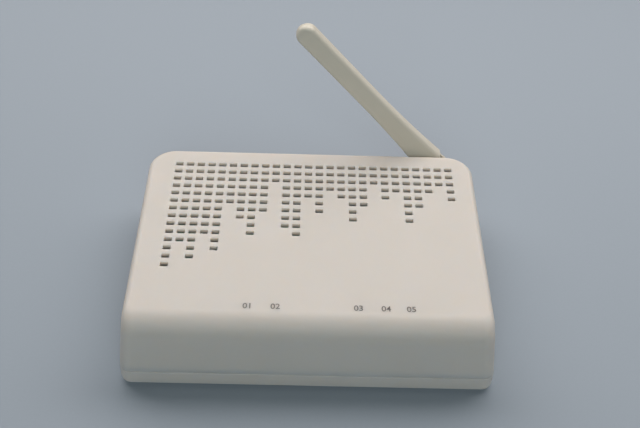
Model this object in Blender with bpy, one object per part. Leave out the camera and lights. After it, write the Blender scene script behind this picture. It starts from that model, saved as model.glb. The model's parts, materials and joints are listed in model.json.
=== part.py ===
"""Wireless DSL modem: a two-part plastic housing with a slotted top, a port panel at the back, a circuit
board inside and a swivelling paddle antenna at the rear right corner.

Units are metres. +Z is up, -Y is the front and +X is the right-hand side seen from the front.
The origin is on the desk, under the middle of the whole object.
"""

import math

import bmesh
import bpy
from mathutils import Matrix, Vector

MM = 0.001

# Fits between pieces
SEAT = 0.3 * MM                 # gap where one piece rests on another
PIN_CLEARANCE = 0.15 * MM       # radial gap of a pin in its hole
CUT = 1.0 * MM                  # how far a cutter runs past the wall that it opens
SMALL_EDGE = 0.3 * MM           # chamfer of the small packages on the board

# Housing, measured at the parting line
BODY_WIDTH = 156 * MM
BODY_DEPTH = 111 * MM
BODY_TOP = 36.9 * MM            # height of the flat top above the desk
PARTING_HEIGHT = 8.9 * MM       # where the cover meets the tray
TRAY_BOTTOM = 1.3 * MM          # underside of the tray, which stands on rubber feet
WALL = 2.0 * MM
FRONT_NOSE_RADIUS = 9.0 * MM    # round nose between the top and the front wall
TOP_EDGE_RADIUS = 2.5 * MM      # fillet along the sides and the rear of the top
FRONT_CORNER_RADIUS = 5.0 * MM
REAR_CORNER_RADIUS = 12.0 * MM
SIDE_DRAFT = math.radians(5.9)
FRONT_DRAFT = math.radians(3.8)
TRAY_EDGE_RADIUS = 1.5 * MM
LEAST_EDGE = 0.4 * MM           # rounding left inside where the wall is thicker than the outer fillet
LEAST_CORNER = 1.0 * MM

# Half-lapped joint between the cover and the tray
TONGUE_HEIGHT = 1.5 * MM
TONGUE_INSET = 1.2 * MM

# Vent slots in the top: one column after another, with the number of slots in each column
SLOT_COUNTS = (14, 11, 13, 10, 12, 6, 8, 10, 7, 3, 9, 10, 5, 7, 4, 5, 8, 6, 3, 5, 4, 8, 6, 4, 3, 5)
SLOT_SIDE_MARGIN = 13.0 * MM    # the field of slots is this much narrower than the body at either side
SLOT_PITCH_Y = 5.0 * MM
SLOT_WIDTH = 3.4 * MM
SLOT_LENGTH = 2.4 * MM
SLOT_SHIFT = 1.3 * MM           # the field of slots sits this far right of the middle
SLOT_FIRST_ROW = 10.6 * MM      # first row's distance from the rear face

# Screws that hold the cover to the tray
BOSS_FROM_SIDE = 8.5 * MM
BOSS_FROM_REAR = 20.0 * MM
BOSS_FROM_FRONT = 15.0 * MM
BOSS_RADIUS = 3.2 * MM
BOSS_TOP = 11.4 * MM            # height where the tray's post ends and the cover's boss begins
POST_RADIUS = 4.0 * MM
SCREW_SHANK_RADIUS = 1.3 * MM
SCREW_LENGTH = 14.0 * MM
SCREW_HEAD_RADIUS = 2.6 * MM
SCREW_HEAD_HEIGHT = 1.8 * MM
SCREW_SINK = 3.0 * MM           # depth of the counterbore that hides the head
SCREW_CLEARANCE = 0.3 * MM
SCREW_CROWN_SHARE = 0.55        # flat of a screw's head, as a share of its radius
SCREW_FLARE_SHARE = 0.6         # height of the head's taper, as a share of its height
SCREW_TIP_SHARE = 0.25

# Tray details
FOOT_RADIUS = 5.0 * MM
FOOT_RECESS = 1.0 * MM
FOOT_EDGE = 0.5 * MM
FOOT_FROM_SIDE = 22.0 * MM
FOOT_FROM_FRONT = 17.0 * MM
FOOT_FROM_REAR = 19.0 * MM
TRAY_VENT_COUNT = 9
TRAY_VENT_PITCH = 6.0 * MM
TRAY_VENT_WIDTH = 2.4 * MM
TRAY_VENT_LENGTH = 22.0 * MM
TRAY_VENT_OFFSET = 14.0 * MM    # rows of vents lie this far in front of and behind the middle
KEYHOLE_FROM_SIDE = 36.0 * MM
KEYHOLE_HEAD_RADIUS = 4.2 * MM
KEYHOLE_NECK_WIDTH = 4.4 * MM
KEYHOLE_TRAVEL = 8.0 * MM

# Rear port panel
PANEL_THICKNESS = 2.0 * MM
PANEL_RECESS = 3.2 * MM         # panel's outer face in front of the rear face
WINDOW_CORNER_LAP = 2.2 * MM    # how far the window runs into the body's rear corners
WINDOW_LINTEL = 4.0 * MM        # height of the cover's rear wall left above the window
PANEL_LAP = 1.0 * MM            # how far the panel runs behind the window's edges
KEEPER_THICKNESS = 1.5 * MM
KEEPER_HEIGHT = 3.2 * MM
KEEPER_ROOM = 5.3 * MM          # from the keeper's end to the antenna's clip

# Circuit board
BOARD_SIDE_GAP = 3.5 * MM       # board's side edge to the cover screws' posts
BOARD_THICKNESS = 1.6 * MM
BOARD_CORNER = 3.0 * MM
BOARD_POST_HEIGHT = 4.6 * MM
BOARD_POST_RADIUS = 3.0 * MM
BOARD_POST_SHARES = ((-0.806, -0.387), (0.806, -0.387), (-0.806, 0.423), (0.806, 0.423))
BOARD_SCREW_RADIUS = 1.2 * MM
BOARD_SCREW_HEAD_RADIUS = 2.4 * MM
BOARD_SCREW_HEAD_HEIGHT = 1.6 * MM
BOARD_FRONT_GAP = 5.0 * MM      # board's front edge behind the tray's front face

# Ports along the panel, each at a share of the window's half width
DSL_SHARE = 0.557
LAN_SHARE = 0.117               # middle of the pair
RESET_SHARE = -0.264
INLET_SHARE = -0.499
POWER_SHARE = -0.762
LAN_SPACING = 18.0 * MM

# Modular sockets
LAN_SIZE = (15.4 * MM, 15.0 * MM, 13.0 * MM)
LAN_CAVITY = (11.9 * MM, 12.0 * MM, 6.9 * MM)
LAN_LATCH = (6.2 * MM, 2.0 * MM)
LAN_WIRE_COUNT = 8
DSL_SIZE = (12.6 * MM, 15.0 * MM, 12.0 * MM)
DSL_CAVITY = (9.9 * MM, 12.0 * MM, 6.9 * MM)
DSL_LATCH = (4.4 * MM, 2.0 * MM)
DSL_WIRE_COUNT = 6
LATCH_FLOOR = 1.6 * MM          # plastic under the latch notch
WIRE_PITCH = 1.02 * MM
WIRE_THICKNESS = 0.45 * MM
WIRE_DROP = 1.6 * MM            # how far a contact wire springs down from the comb
WIRE_OVERLAP = 0.3 * MM         # how far a wire runs into the bar that holds it
COMB_SETBACK = 2.0 * MM
COMB_DEPTH = 1.2 * MM
COMB_HEIGHT = 0.8 * MM

# Power inlet, power switch and reset switch
INLET_SIZE = (9.4 * MM, 14.0 * MM, 11.0 * MM)
INLET_BORE_RADIUS = 3.2 * MM
INLET_BORE_DEPTH = 10.0 * MM
INLET_PIN_RADIUS = 1.0 * MM
INLET_PIN_TIP = 1.2 * MM
INLET_AXIS_HEIGHT = 6.2 * MM
SWITCH_SIZE = (9.0 * MM, 10.0 * MM, 9.0 * MM)
BUTTON_SIDE = 8.0 * MM
BUTTON_CORNER = 1.4 * MM
BUTTON_EDGE = 0.6 * MM
BUTTON_PROUD = 3.2 * MM
BUTTON_TRAVEL = 2.5 * MM
BUTTON_DEPTH = 9.0 * MM
STEM_RADIUS = 1.5 * MM
STEM_LENGTH = 6.0 * MM
RESET_SIZE = (6.0 * MM, 5.0 * MM, 6.0 * MM)
RESET_HOLE_RADIUS = 1.3 * MM
RESET_PLUNGER_RADIUS = 1.1 * MM
RESET_PLUNGER_LENGTH = 6.0 * MM
RESET_TRAVEL = 0.5 * MM

# Packages on the board: place as shares of the board's half width and the body's half depth, then size
PROCESSOR_PLACE = (-0.097, 0.036)
PROCESSOR_SIZE = (20.0 * MM, 20.0 * MM, 1.6 * MM)
MEMORY_PLACE = (-0.484, 0.072)
MEMORY_SIZE = (11.0 * MM, 18.0 * MM, 1.1 * MM)
FLASH_PLACE = (-0.484, -0.288)
FLASH_SIZE = (8.0 * MM, 6.0 * MM, 1.6 * MM)
DRIVER_PLACE = (0.548, 0.144)
DRIVER_SIZE = (9.0 * MM, 9.0 * MM, 1.2 * MM)
SHIELD_PLACE = (0.452, -0.36)
SHIELD_SIZE = (24.0 * MM, 22.0 * MM, 3.0 * MM)
CRYSTAL_PLACE = (-0.097, -0.324)
CRYSTAL_SIZE = (11.0 * MM, 4.6 * MM, 3.4 * MM)

# Heat sink on the processor
SINK_SIDE = 18.0 * MM
SINK_BASE = 1.6 * MM
SINK_FIN_COUNT = 7
SINK_FIN_HEIGHT = 6.0 * MM
SINK_FIN = 1.0 * MM

# Wound parts and capacitors
LINE_TRANSFORMER_PLACE = (0.58, 0.432)
LINE_TRANSFORMER_SIZE = (13.0 * MM, 11.0 * MM, 10.0 * MM)
NETWORK_TRANSFORMER_PLACE = (0.145, 0.396)
NETWORK_TRANSFORMER_SIZE = (16.0 * MM, 12.0 * MM, 6.0 * MM)
TRANSFORMER_CORNER = 0.8 * MM
TRANSFORMER_SECTIONS = ((0.0, 1.0), (0.25, 1.0), (0.32, 0.82), (0.74, 0.82), (0.8, 1.0), (1.0, 1.0))
COIL_PLACE = (-0.742, 0.288)
COIL_RADIUS = 4.5 * MM
COIL_HEIGHT = 7.0 * MM
COIL_WAIST = 0.9 * MM           # how far the winding lies inside the flanges
COIL_FLANGE = 1.0 * MM
COIL_SLOPE = 0.8 * MM
CAPACITOR_PLACES = ((-0.548, 0.432), (-0.323, 0.36), (-0.742, 0.036))
CAPACITOR_RADII = (4.0 * MM, 3.15 * MM, 4.0 * MM)
CAPACITOR_HEIGHTS = (12.5 * MM, 11.5 * MM, 12.5 * MM)
CAPACITOR_GROOVE = 0.35 * MM
CAPACITOR_GROOVE_HEIGHT = 1.2 * MM
CAPACITOR_GROOVE_STEP = 0.4 * MM
CAPACITOR_EDGE = 0.5 * MM

# Status lamps, at shares of the body's half width, and the light guide that carries them up to the nose
LAMP_SHARES = (-0.318, -0.177, 0.262, 0.405, 0.533)
LAMP_SIZE = (3.0 * MM, 2.4 * MM, 1.4 * MM)
LAMP_FROM_FRONT = 6.6 * MM
GUIDE_RADIUS = 1.4 * MM
GUIDE_BAR_HEIGHT = 18.0 * MM
GUIDE_BAR = 2.6 * MM
GUIDE_LEG = 1.3 * MM
GUIDE_LEG_SPREAD = 5.2 * MM

# Antenna, modelled upright about its fold pin and then leant to the left
ANTENNA_SIDE_ROOM = 2.1 * MM    # barrel to the window's side, at the parting line
ANTENNA_TOP_ROOM = 3.0 * MM     # barrel to the window's top
ANTENNA_STANDOFF = 5.5 * MM     # fold pin's distance behind the rear face
ANTENNA_LEAN = math.radians(41.0)
ANTENNA_LENGTH = 102.7 * MM     # fold pin to tip
SLEEVE_START = 5.8 * MM         # fold pin to the sleeve's lower end
SLEEVE_FOOT_WIDTH = 13.6 * MM
SLEEVE_WIDTH = 9.5 * MM
SLEEVE_TIP_WIDTH = 9.0 * MM
SLEEVE_FLARE = 48.5 * MM        # length over which the sleeve narrows from its foot
SLEEVE_FOOT_DEPTH = 6.8 * MM
SLEEVE_DEPTH = 6.2 * MM
SLEEVE_EDGE = 2.0 * MM          # rounding of the sleeve's long edges
SLEEVE_BORE_WIDTH = 5.4 * MM
SLEEVE_BORE_DEPTH = 2.8 * MM
SLEEVE_TIP_WALL = 10.9 * MM     # end of the bore to the tip
SLEEVE_TIP_FLAT = 0.5 * MM      # half width of the tip's last section
SLEEVE_TIP_FULLNESS = 0.6       # how much later the tip closes in depth than in width
SLEEVE_EDGE_SHARE = 0.9
KNUCKLE_RADIUS = 4.0 * MM
KNUCKLE_HALF_WIDTH = 5.3 * MM
KNUCKLE_WEB_START = 4.0 * MM
KNUCKLE_PLUG_LENGTH = 8.0 * MM
KNUCKLE_STEP = 0.2 * MM         # how far the knuckle's faces lie inside the sleeve's foot
LUG_HALF_WIDTH = 2.0 * MM
LUG_RADIUS = 3.4 * MM
FORK_CLEARANCE = 0.25 * MM
PIN_RADIUS = 1.2 * MM
BARREL_RADIUS = 5.0 * MM
BARREL_EDGE = 0.5 * MM
LUG_NECK_SHARE = 0.85
LUG_NECK_INSET = 0.02 * MM
SHANK_RADIUS = 4.0 * MM
SHANK_TAIL = 2.8 * MM           # shank left inside the panel for the clip
CLIP_THICKNESS = 1.0 * MM
CLIP_RADIUS = 5.8 * MM
CLIP_GROOVE = 0.8 * MM
CLIP_MOUTH_SHARE = 0.6          # half of the clip's mouth, as a share of the shank's radius
LEAD_BORE_RADIUS = 1.4 * MM
LEAD_RADIUS = 0.7 * MM
LEAD_INSERT = 1.5 * MM          # length of lead inside the shank
LEAD_LEAVING = 20.0 * MM        # pull of the lead's curve where it leaves the shank
LEAD_LANDING = 9.0 * MM         # and where it lands on the board
FERRULE_PLACE = (0.71, 0.036)
FERRULE_SIZE = (2.8 * MM, 2.8 * MM, 2.4 * MM)
ELEMENT_WIDTH = 4.6 * MM
ELEMENT_THICKNESS = 0.8 * MM

# Numbers of sides and of steps along a curve
ROUND_SIDES = 20
FINE_SIDES = 10
CORNER_STEPS = 6
NOSE_STEPS = 8
TRAY_EDGE_STEPS = 3
BOARD_CORNER_STEPS = 2
BUTTON_CORNER_STEPS = 3
SLEEVE_CORNER_STEPS = 4
SLEEVE_FLARE_STEPS = 5
SLEEVE_TIP_STEPS = 6
KNUCKLE_STEPS = 10
LEAD_STEPS = 24
LEAD_SIDE_STEPS = 2
SHARP_ANGLE = math.radians(35)

# Places that follow from the sizes above
ANTENNA_REACH = ANTENNA_STANDOFF + KNUCKLE_RADIUS
BODY_FRONT = -(BODY_DEPTH + ANTENNA_REACH) / 2
BODY_REAR = BODY_FRONT + BODY_DEPTH
MIDDLE_Y = (BODY_FRONT + BODY_REAR) / 2
HALF_WIDTH = BODY_WIDTH / 2
SLOT_PITCH_X = (BODY_WIDTH - 2 * SLOT_SIDE_MARGIN) / len(SLOT_COUNTS)
BOSS_SPREAD = HALF_WIDTH - BOSS_FROM_SIDE
FOOT_SPREAD = HALF_WIDTH - FOOT_FROM_SIDE
KEYHOLE_SPREAD = HALF_WIDTH - KEYHOLE_FROM_SIDE
BOARD_HALF_WIDTH = BOSS_SPREAD - POST_RADIUS - BOARD_SIDE_GAP
WINDOW_HALF_WIDTH = HALF_WIDTH - REAR_CORNER_RADIUS + WINDOW_CORNER_LAP
COVER_BOTTOM = PARTING_HEIGHT + SEAT
CEILING = BODY_TOP - WALL
FLOOR = TRAY_BOTTOM + WALL
WINDOW_TOP = BODY_TOP - WINDOW_LINTEL
DSL_X = WINDOW_HALF_WIDTH * DSL_SHARE
LAN_X = (WINDOW_HALF_WIDTH * LAN_SHARE + LAN_SPACING / 2, WINDOW_HALF_WIDTH * LAN_SHARE - LAN_SPACING / 2)
RESET_X = WINDOW_HALF_WIDTH * RESET_SHARE
INLET_X = WINDOW_HALF_WIDTH * INLET_SHARE
POWER_X = WINDOW_HALF_WIDTH * POWER_SHARE
LAMP_X = tuple(HALF_WIDTH * share for share in LAMP_SHARES)
PANEL_OUTER = BODY_REAR - PANEL_RECESS
PANEL_INNER = PANEL_OUTER - PANEL_THICKNESS
KEEPER_REAR = PANEL_INNER - SEAT
BOARD_BOTTOM = FLOOR + BOARD_POST_HEIGHT + SEAT
BOARD_TOP = BOARD_BOTTOM + BOARD_THICKNESS
BOARD_REAR = PANEL_INNER - SEAT
BOARD_FRONT = BODY_FRONT + BOARD_FRONT_GAP
MOUNTED = BOARD_TOP + SEAT      # underside of what stands on the board
POWER_HEIGHT = MOUNTED + SWITCH_SIZE[2] / 2
RESET_HEIGHT = MOUNTED + RESET_SIZE[2] / 2
ANTENNA_X = WINDOW_HALF_WIDTH - BARREL_RADIUS - ANTENNA_SIDE_ROOM
ANTENNA_Y = BODY_REAR + ANTENNA_STANDOFF
ANTENNA_HEIGHT = WINDOW_TOP - BARREL_RADIUS - ANTENNA_TOP_ROOM
KEEPER_HALF_LENGTH = ANTENNA_X - CLIP_RADIUS - KEEPER_ROOM
SLEEVE_BORE_LENGTH = ANTENNA_LENGTH - SLEEVE_START - SLEEVE_TIP_WALL
BARREL_FRONT = -(KNUCKLE_RADIUS + 2 * SEAT)
FLANGE = PANEL_OUTER + SEAT - ANTENNA_Y

FINISHES = {
    "white_shell": ((0.66, 0.61, 0.56), 0.48, 0.0),
    "white_sleeve": ((0.60, 0.57, 0.50), 0.42, 0.0),
    "black_plastic": ((0.03, 0.03, 0.032), 0.45, 0.0),
    "grey_button": ((0.32, 0.32, 0.32), 0.5, 0.0),
    "rubber": ((0.06, 0.06, 0.06), 0.85, 0.0),
    "steel": ((0.62, 0.62, 0.64), 0.35, 1.0),
    "gold": ((0.83, 0.62, 0.25), 0.3, 1.0),
    "board_green": ((0.03, 0.16, 0.07), 0.45, 0.0),
    "chip_black": ((0.02, 0.02, 0.022), 0.5, 0.0),
    "aluminium": ((0.72, 0.72, 0.74), 0.4, 1.0),
    "ferrite": ((0.09, 0.09, 0.1), 0.6, 0.0),
    "clear_guide": ((0.82, 0.86, 0.88), 0.15, 0.0),
    "lamp": ((0.85, 0.88, 0.72), 0.25, 0.0),
}


# Modelling helpers


def clear_scene():
    for obj in list(bpy.data.objects):
        bpy.data.objects.remove(obj)


def finish(name):
    """The named material, made on first use."""
    made = bpy.data.materials.get(name)
    if made is None:
        colour, roughness, metallic = FINISHES[name]
        made = bpy.data.materials.new(name)
        made.use_nodes = True
        shader = made.node_tree.nodes["Principled BSDF"]
        shader.inputs["Base Color"].default_value = (*colour, 1)
        shader.inputs["Roughness"].default_value = roughness
        shader.inputs["Metallic"].default_value = metallic
    return made


def place(name, shape, finish_name, parent, location=(0, 0, 0)):
    """Makes a named object of a bmesh, in its parent's frame."""
    bmesh.ops.recalc_face_normals(shape, faces=shape.faces)
    mesh = bpy.data.meshes.new(name)
    shape.to_mesh(mesh)
    shape.free()
    mesh.shade_smooth()
    mesh.set_sharp_from_angle(angle=SHARP_ANGLE)
    mesh.materials.append(finish(finish_name))
    obj = bpy.data.objects.new(name, mesh)
    bpy.context.scene.collection.objects.link(obj)
    obj.parent = parent
    obj.location = location
    return obj


def combine(obj, shape, operation):
    """Adds a bmesh to an object or cuts it away, and applies the result to the object's own mesh."""
    tool = place("tool", shape, obj.data.materials[0].name, obj.parent, obj.location)
    modifier = obj.modifiers.new(operation.lower(), "BOOLEAN")
    modifier.operation = operation
    modifier.object = tool
    bpy.context.view_layer.update()
    graph = bpy.context.evaluated_depsgraph_get()
    result = bpy.data.meshes.new_from_object(obj.evaluated_get(graph))
    obj.modifiers.clear()
    result.name = obj.name
    obj.data = result
    bpy.data.objects.remove(tool)
    return obj


def join(obj, shape):
    return combine(obj, shape, "UNION")


def cut(obj, shape):
    return combine(obj, shape, "DIFFERENCE")


def axis_empty(name, parent, location, turn=(0, 0, 0)):
    """An empty that stands on a joint's axis and carries the pieces that move about it."""
    empty = bpy.data.objects.new(name, None)
    bpy.context.scene.collection.objects.link(empty)
    empty.parent = parent
    empty.location = location
    empty.rotation_euler = turn
    return empty


def add_box(shape, low, high):
    low, high = Vector(low), Vector(high)
    size = high - low
    matrix = Matrix.Translation((low + high) / 2) @ Matrix.Diagonal((*size, 1))
    return bmesh.ops.create_cube(shape, size=1, matrix=matrix)["verts"]


def box(low, high, bevel=0.0):
    shape = bmesh.new()
    add_box(shape, low, high)
    if bevel:
        bmesh.ops.bevel(shape, geom=shape.edges[:], offset=bevel, segments=1, affect="EDGES", profile=0.5)
    return shape


def block(size, bevel=0.0):
    """A box that stands on its origin."""
    width, depth, height = size
    return box((-width / 2, -depth / 2, 0), (width / 2, depth / 2, height), bevel)


def block_behind(size):
    """A box whose rear face and underside meet at its origin."""
    width, depth, height = size
    return box((-width / 2, -depth, 0), (width / 2, 0, height))


def add_rod(shape, radius, start, end, sides=ROUND_SIDES, end_radius=None):
    """A round bar between two points, tapered if the end's radius is given."""
    start, end = Vector(start), Vector(end)
    way = end - start
    turn = Vector((0, 0, 1)).rotation_difference(way).to_matrix().to_4x4()
    bmesh.ops.create_cone(
        shape, cap_ends=True, segments=sides, radius1=radius,
        radius2=radius if end_radius is None else end_radius, depth=way.length,
        matrix=Matrix.Translation((start + end) / 2) @ turn,
    )
    return shape


def rod(radius, start, end, sides=ROUND_SIDES, end_radius=None):
    return add_rod(bmesh.new(), radius, start, end, sides, end_radius)


def loft(rings):
    """A closed solid through rings of as many points each, with its first and last ring capped."""
    shape = bmesh.new()
    loops = [[shape.verts.new(point) for point in ring] for ring in rings]
    count = len(loops[0])
    for lower, upper in zip(loops, loops[1:]):
        for i in range(count):
            j = (i + 1) % count
            shape.faces.new((lower[i], lower[j], upper[j], upper[i]))
    shape.faces.new(loops[0])
    shape.faces.new(loops[-1])
    return shape


def turned(profile, sides=ROUND_SIDES):
    """A solid of revolution about Z, from (radius, height) points in order along the surface."""
    angles = [2 * math.pi * i / sides for i in range(sides)]
    return loft([[(r * math.cos(a), r * math.sin(a), z) for a in angles] for r, z in profile])


def arc(centre, radius, start, end, steps):
    """Points along an arc, angles in degrees."""
    for i in range(steps + 1):
        a = math.radians(start + (end - start) * i / steps)
        yield centre[0] + radius * math.cos(a), centre[1] + radius * math.sin(a)


def rounded_outline(low, high, front_radius, rear_radius, steps=CORNER_STEPS):
    """A rectangle in plan with its own corner radius at the front and at the rear, anticlockwise."""
    (x0, y0), (x1, y1) = low, high
    front, rear = front_radius, rear_radius
    return [
        *arc((x1 - front, y0 + front), front, -90, 0, steps),
        *arc((x1 - rear, y1 - rear), rear, 0, 90, steps),
        *arc((x0 + rear, y1 - rear), rear, 90, 180, steps),
        *arc((x0 + front, y0 + front), front, 180, 270, steps),
    ]


def fillet_inset(radius, below_top):
    """How far a rounded edge draws in at a depth below the face that it rounds into."""
    rise = radius - min(below_top, radius)
    return radius - math.sqrt(radius * radius - rise * rise)


def on_board(shares):
    """A place in plan, from shares of the board's half width and the body's half depth."""
    return BOARD_HALF_WIDTH * shares[0], MIDDLE_Y + BODY_DEPTH / 2 * shares[1]


def mirrored_places(spread, from_front, from_rear):
    """Four places in plan: front left, front right, rear left and rear right."""
    front, rear = BODY_FRONT + from_front, BODY_REAR - from_rear
    return {
        "front_left": (-spread, front), "front_right": (spread, front),
        "rear_left": (-spread, rear), "rear_right": (spread, rear),
    }


# Housing


def cover_ring(height, offset):
    """The cover's outline at a height, moved in from the outer face by an offset."""
    below_top = BODY_TOP - offset - height
    rise = height - PARTING_HEIGHT
    side_edge = fillet_inset(max(TOP_EDGE_RADIUS - offset, LEAST_EDGE), below_top)
    nose = fillet_inset(FRONT_NOSE_RADIUS - offset, below_top)
    side = offset + rise * math.tan(SIDE_DRAFT) + side_edge
    front = offset + rise * math.tan(FRONT_DRAFT) + nose
    rear = offset + side_edge
    points = rounded_outline(
        (-HALF_WIDTH + side, BODY_FRONT + front), (HALF_WIDTH - side, BODY_REAR - rear),
        max(FRONT_CORNER_RADIUS - offset - side_edge, LEAST_CORNER), REAR_CORNER_RADIUS - offset - side_edge,
    )
    return [(x, y, height) for x, y in points]


def nose_heights(offset):
    """Heights at which the round nose is sampled, from its foot up to the flat top."""
    radius = FRONT_NOSE_RADIUS - offset
    top = BODY_TOP - offset
    for i in range(NOSE_STEPS + 1):
        yield top - radius * (1 - math.sin(math.pi / 2 * i / NOSE_STEPS))


def slot_cutters():
    """One block for each vent slot of the top."""
    shape = bmesh.new()
    first_x = SLOT_SHIFT - SLOT_PITCH_X * (len(SLOT_COUNTS) - 1) / 2
    for column, count in enumerate(SLOT_COUNTS):
        x = first_x + SLOT_PITCH_X * column
        for row in range(count):
            y = BODY_REAR - SLOT_FIRST_ROW - SLOT_PITCH_Y * row
            add_box(
                shape, (x - SLOT_WIDTH / 2, y - SLOT_LENGTH / 2, CEILING - CUT),
                (x + SLOT_WIDTH / 2, y + SLOT_LENGTH / 2, BODY_TOP + CUT),
            )
    return shape


def boss_places():
    return mirrored_places(BOSS_SPREAD, BOSS_FROM_FRONT, BOSS_FROM_REAR)


def window_block(margin, bottom, near, far):
    """The rear window's shape with a margin round it: upright in the tray, drawn in with the cover."""
    foot = WINDOW_HALF_WIDTH + margin
    top = WINDOW_TOP + margin
    head = foot - (top - PARTING_HEIGHT) * math.tan(SIDE_DRAFT)
    outline = [(-foot, bottom), (foot, bottom), (foot, PARTING_HEIGHT), (head, top), (-head, top),
               (-foot, PARTING_HEIGHT)]
    return loft([[(x, y, z) for x, z in outline] for y in (near, far)])


def make_top_cover(parent):
    """Upper shell with the round nose, the slot field, four screw bosses and the panel's window."""
    lap_top = COVER_BOTTOM + TONGUE_HEIGHT + SEAT
    lap = TONGUE_INSET - SEAT
    inner = [cover_ring(z, WALL) for z in reversed(list(nose_heights(WALL)))]
    rim = [cover_ring(lap_top, WALL), cover_ring(lap_top, lap), cover_ring(COVER_BOTTOM, lap)]
    outer = [cover_ring(COVER_BOTTOM, 0.0), *(cover_ring(z, 0.0) for z in nose_heights(0.0))]
    cover = place("top_cover", loft(inner + rim + outer), "white_shell", parent)
    inside = bmesh.new()
    for x, y in boss_places().values():
        add_rod(inside, BOSS_RADIUS, (x, y, BOSS_TOP + SEAT), (x, y, CEILING + WALL / 2))
    add_box(
        inside, (-KEEPER_HALF_LENGTH, KEEPER_REAR - KEEPER_THICKNESS, CEILING - KEEPER_HEIGHT),
        (KEEPER_HALF_LENGTH, KEEPER_REAR, CEILING + WALL / 2),
    )
    join(cover, inside)
    openings = slot_cutters()
    cut(cover, window_block(0.0, COVER_BOTTOM - CUT, BODY_REAR - PANEL_RECESS, BODY_REAR + CUT))
    bore_top = TRAY_BOTTOM + SCREW_SINK + SCREW_LENGTH + CUT
    for x, y in boss_places().values():
        add_rod(
            openings, SCREW_SHANK_RADIUS + SCREW_CLEARANCE, (x, y, BOSS_TOP - CUT), (x, y, bore_top),
            FINE_SIDES,
        )
    return cut(cover, openings)


def tray_ring(height, offset):
    """The tray's outline at a height: straight walls over a rounded lower edge."""
    inset = offset + fillet_inset(max(TRAY_EDGE_RADIUS - offset, 0.0), height - TRAY_BOTTOM - offset)
    points = rounded_outline(
        (-HALF_WIDTH + inset, BODY_FRONT + inset), (HALF_WIDTH - inset, BODY_REAR - inset),
        FRONT_CORNER_RADIUS - inset, REAR_CORNER_RADIUS - inset,
    )
    return [(x, y, height) for x, y in points]


def tray_openings():
    """Foot recesses, counterbores for the cover's screws and floor vents of the tray."""
    shape = bmesh.new()
    below = TRAY_BOTTOM - CUT
    for x, y in mirrored_places(FOOT_SPREAD, FOOT_FROM_FRONT, FOOT_FROM_REAR).values():
        add_rod(shape, FOOT_RADIUS + SEAT, (x, y, below), (x, y, TRAY_BOTTOM + FOOT_RECESS))
    for x, y in boss_places().values():
        add_rod(shape, SCREW_HEAD_RADIUS + SCREW_CLEARANCE, (x, y, below), (x, y, TRAY_BOTTOM + SCREW_SINK))
    for row in (-1, 1):
        for i in range(TRAY_VENT_COUNT):
            x = TRAY_VENT_PITCH * (i - (TRAY_VENT_COUNT - 1) / 2)
            y = MIDDLE_Y + row * TRAY_VENT_OFFSET
            add_box(
                shape, (x - TRAY_VENT_WIDTH / 2, y - TRAY_VENT_LENGTH / 2, below),
                (x + TRAY_VENT_WIDTH / 2, y + TRAY_VENT_LENGTH / 2, FLOOR + CUT),
            )
    return shape


def tray_screw_holes():
    """Bores for the shanks of the cover's screws and the board's screws."""
    shape = bmesh.new()
    for x, y in boss_places().values():
        bore = SCREW_SHANK_RADIUS + SCREW_CLEARANCE
        add_rod(shape, bore, (x, y, TRAY_BOTTOM), (x, y, BOSS_TOP + CUT), FINE_SIDES)
    for x, y in board_post_places():
        bore = BOARD_SCREW_RADIUS + SCREW_CLEARANCE
        add_rod(shape, bore, (x, y, FLOOR), (x, y, BOARD_BOTTOM), FINE_SIDES)
    return shape


def keyhole(side):
    """Round entry for a screw head with a narrower slot towards the rear."""
    x, y = side * KEYHOLE_SPREAD, MIDDLE_Y
    half = KEYHOLE_NECK_WIDTH / 2
    meet = math.degrees(math.asin(half / KEYHOLE_HEAD_RADIUS))
    rearward = 90
    outline = [
        *arc((x, y), KEYHOLE_HEAD_RADIUS, rearward + meet, rearward + 360 - meet, FINE_SIDES),
        *arc((x, y + KEYHOLE_TRAVEL), half, 0, 180, CORNER_STEPS),
    ]
    return loft([[(px, py, z) for px, py in outline] for z in (TRAY_BOTTOM - CUT, FLOOR + CUT)])


def make_bottom_tray(parent):
    """Lower shell: a floor with a low wall, a tongue inside the cover's rim, posts and a panel keeper."""
    edge = [TRAY_BOTTOM + TRAY_EDGE_RADIUS * (1 - math.cos(math.pi / 2 * i / TRAY_EDGE_STEPS))
            for i in range(TRAY_EDGE_STEPS + 1)]
    tongue_top = PARTING_HEIGHT + TONGUE_HEIGHT
    rings = [
        tray_ring(FLOOR, WALL), tray_ring(tongue_top, WALL),
        tray_ring(tongue_top, TONGUE_INSET), tray_ring(PARTING_HEIGHT, TONGUE_INSET),
        tray_ring(PARTING_HEIGHT, 0.0), *(tray_ring(z, 0.0) for z in reversed(edge)),
    ]
    tray = place("bottom_tray", loft(rings), "white_shell", parent)
    inside = bmesh.new()
    for x, y in boss_places().values():
        add_rod(inside, POST_RADIUS, (x, y, FLOOR - WALL / 2), (x, y, BOSS_TOP))
    for x, y in board_post_places():
        add_rod(inside, BOARD_POST_RADIUS, (x, y, FLOOR - WALL / 2), (x, y, FLOOR + BOARD_POST_HEIGHT))
    add_box(
        inside, (-KEEPER_HALF_LENGTH, KEEPER_REAR - KEEPER_THICKNESS, FLOOR - WALL / 2),
        (KEEPER_HALF_LENGTH, KEEPER_REAR, FLOOR + KEEPER_HEIGHT),
    )
    join(tray, inside)
    openings = tray_openings()
    add_box(
        openings, (-WINDOW_HALF_WIDTH, BODY_REAR - WALL - SEAT, PARTING_HEIGHT),
        (WINDOW_HALF_WIDTH, BODY_REAR + CUT, tongue_top + CUT),
    )
    cut(tray, openings)
    cut(tray, tray_screw_holes())
    for side in (-1, 1):
        cut(tray, keyhole(side))
    return tray


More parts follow.
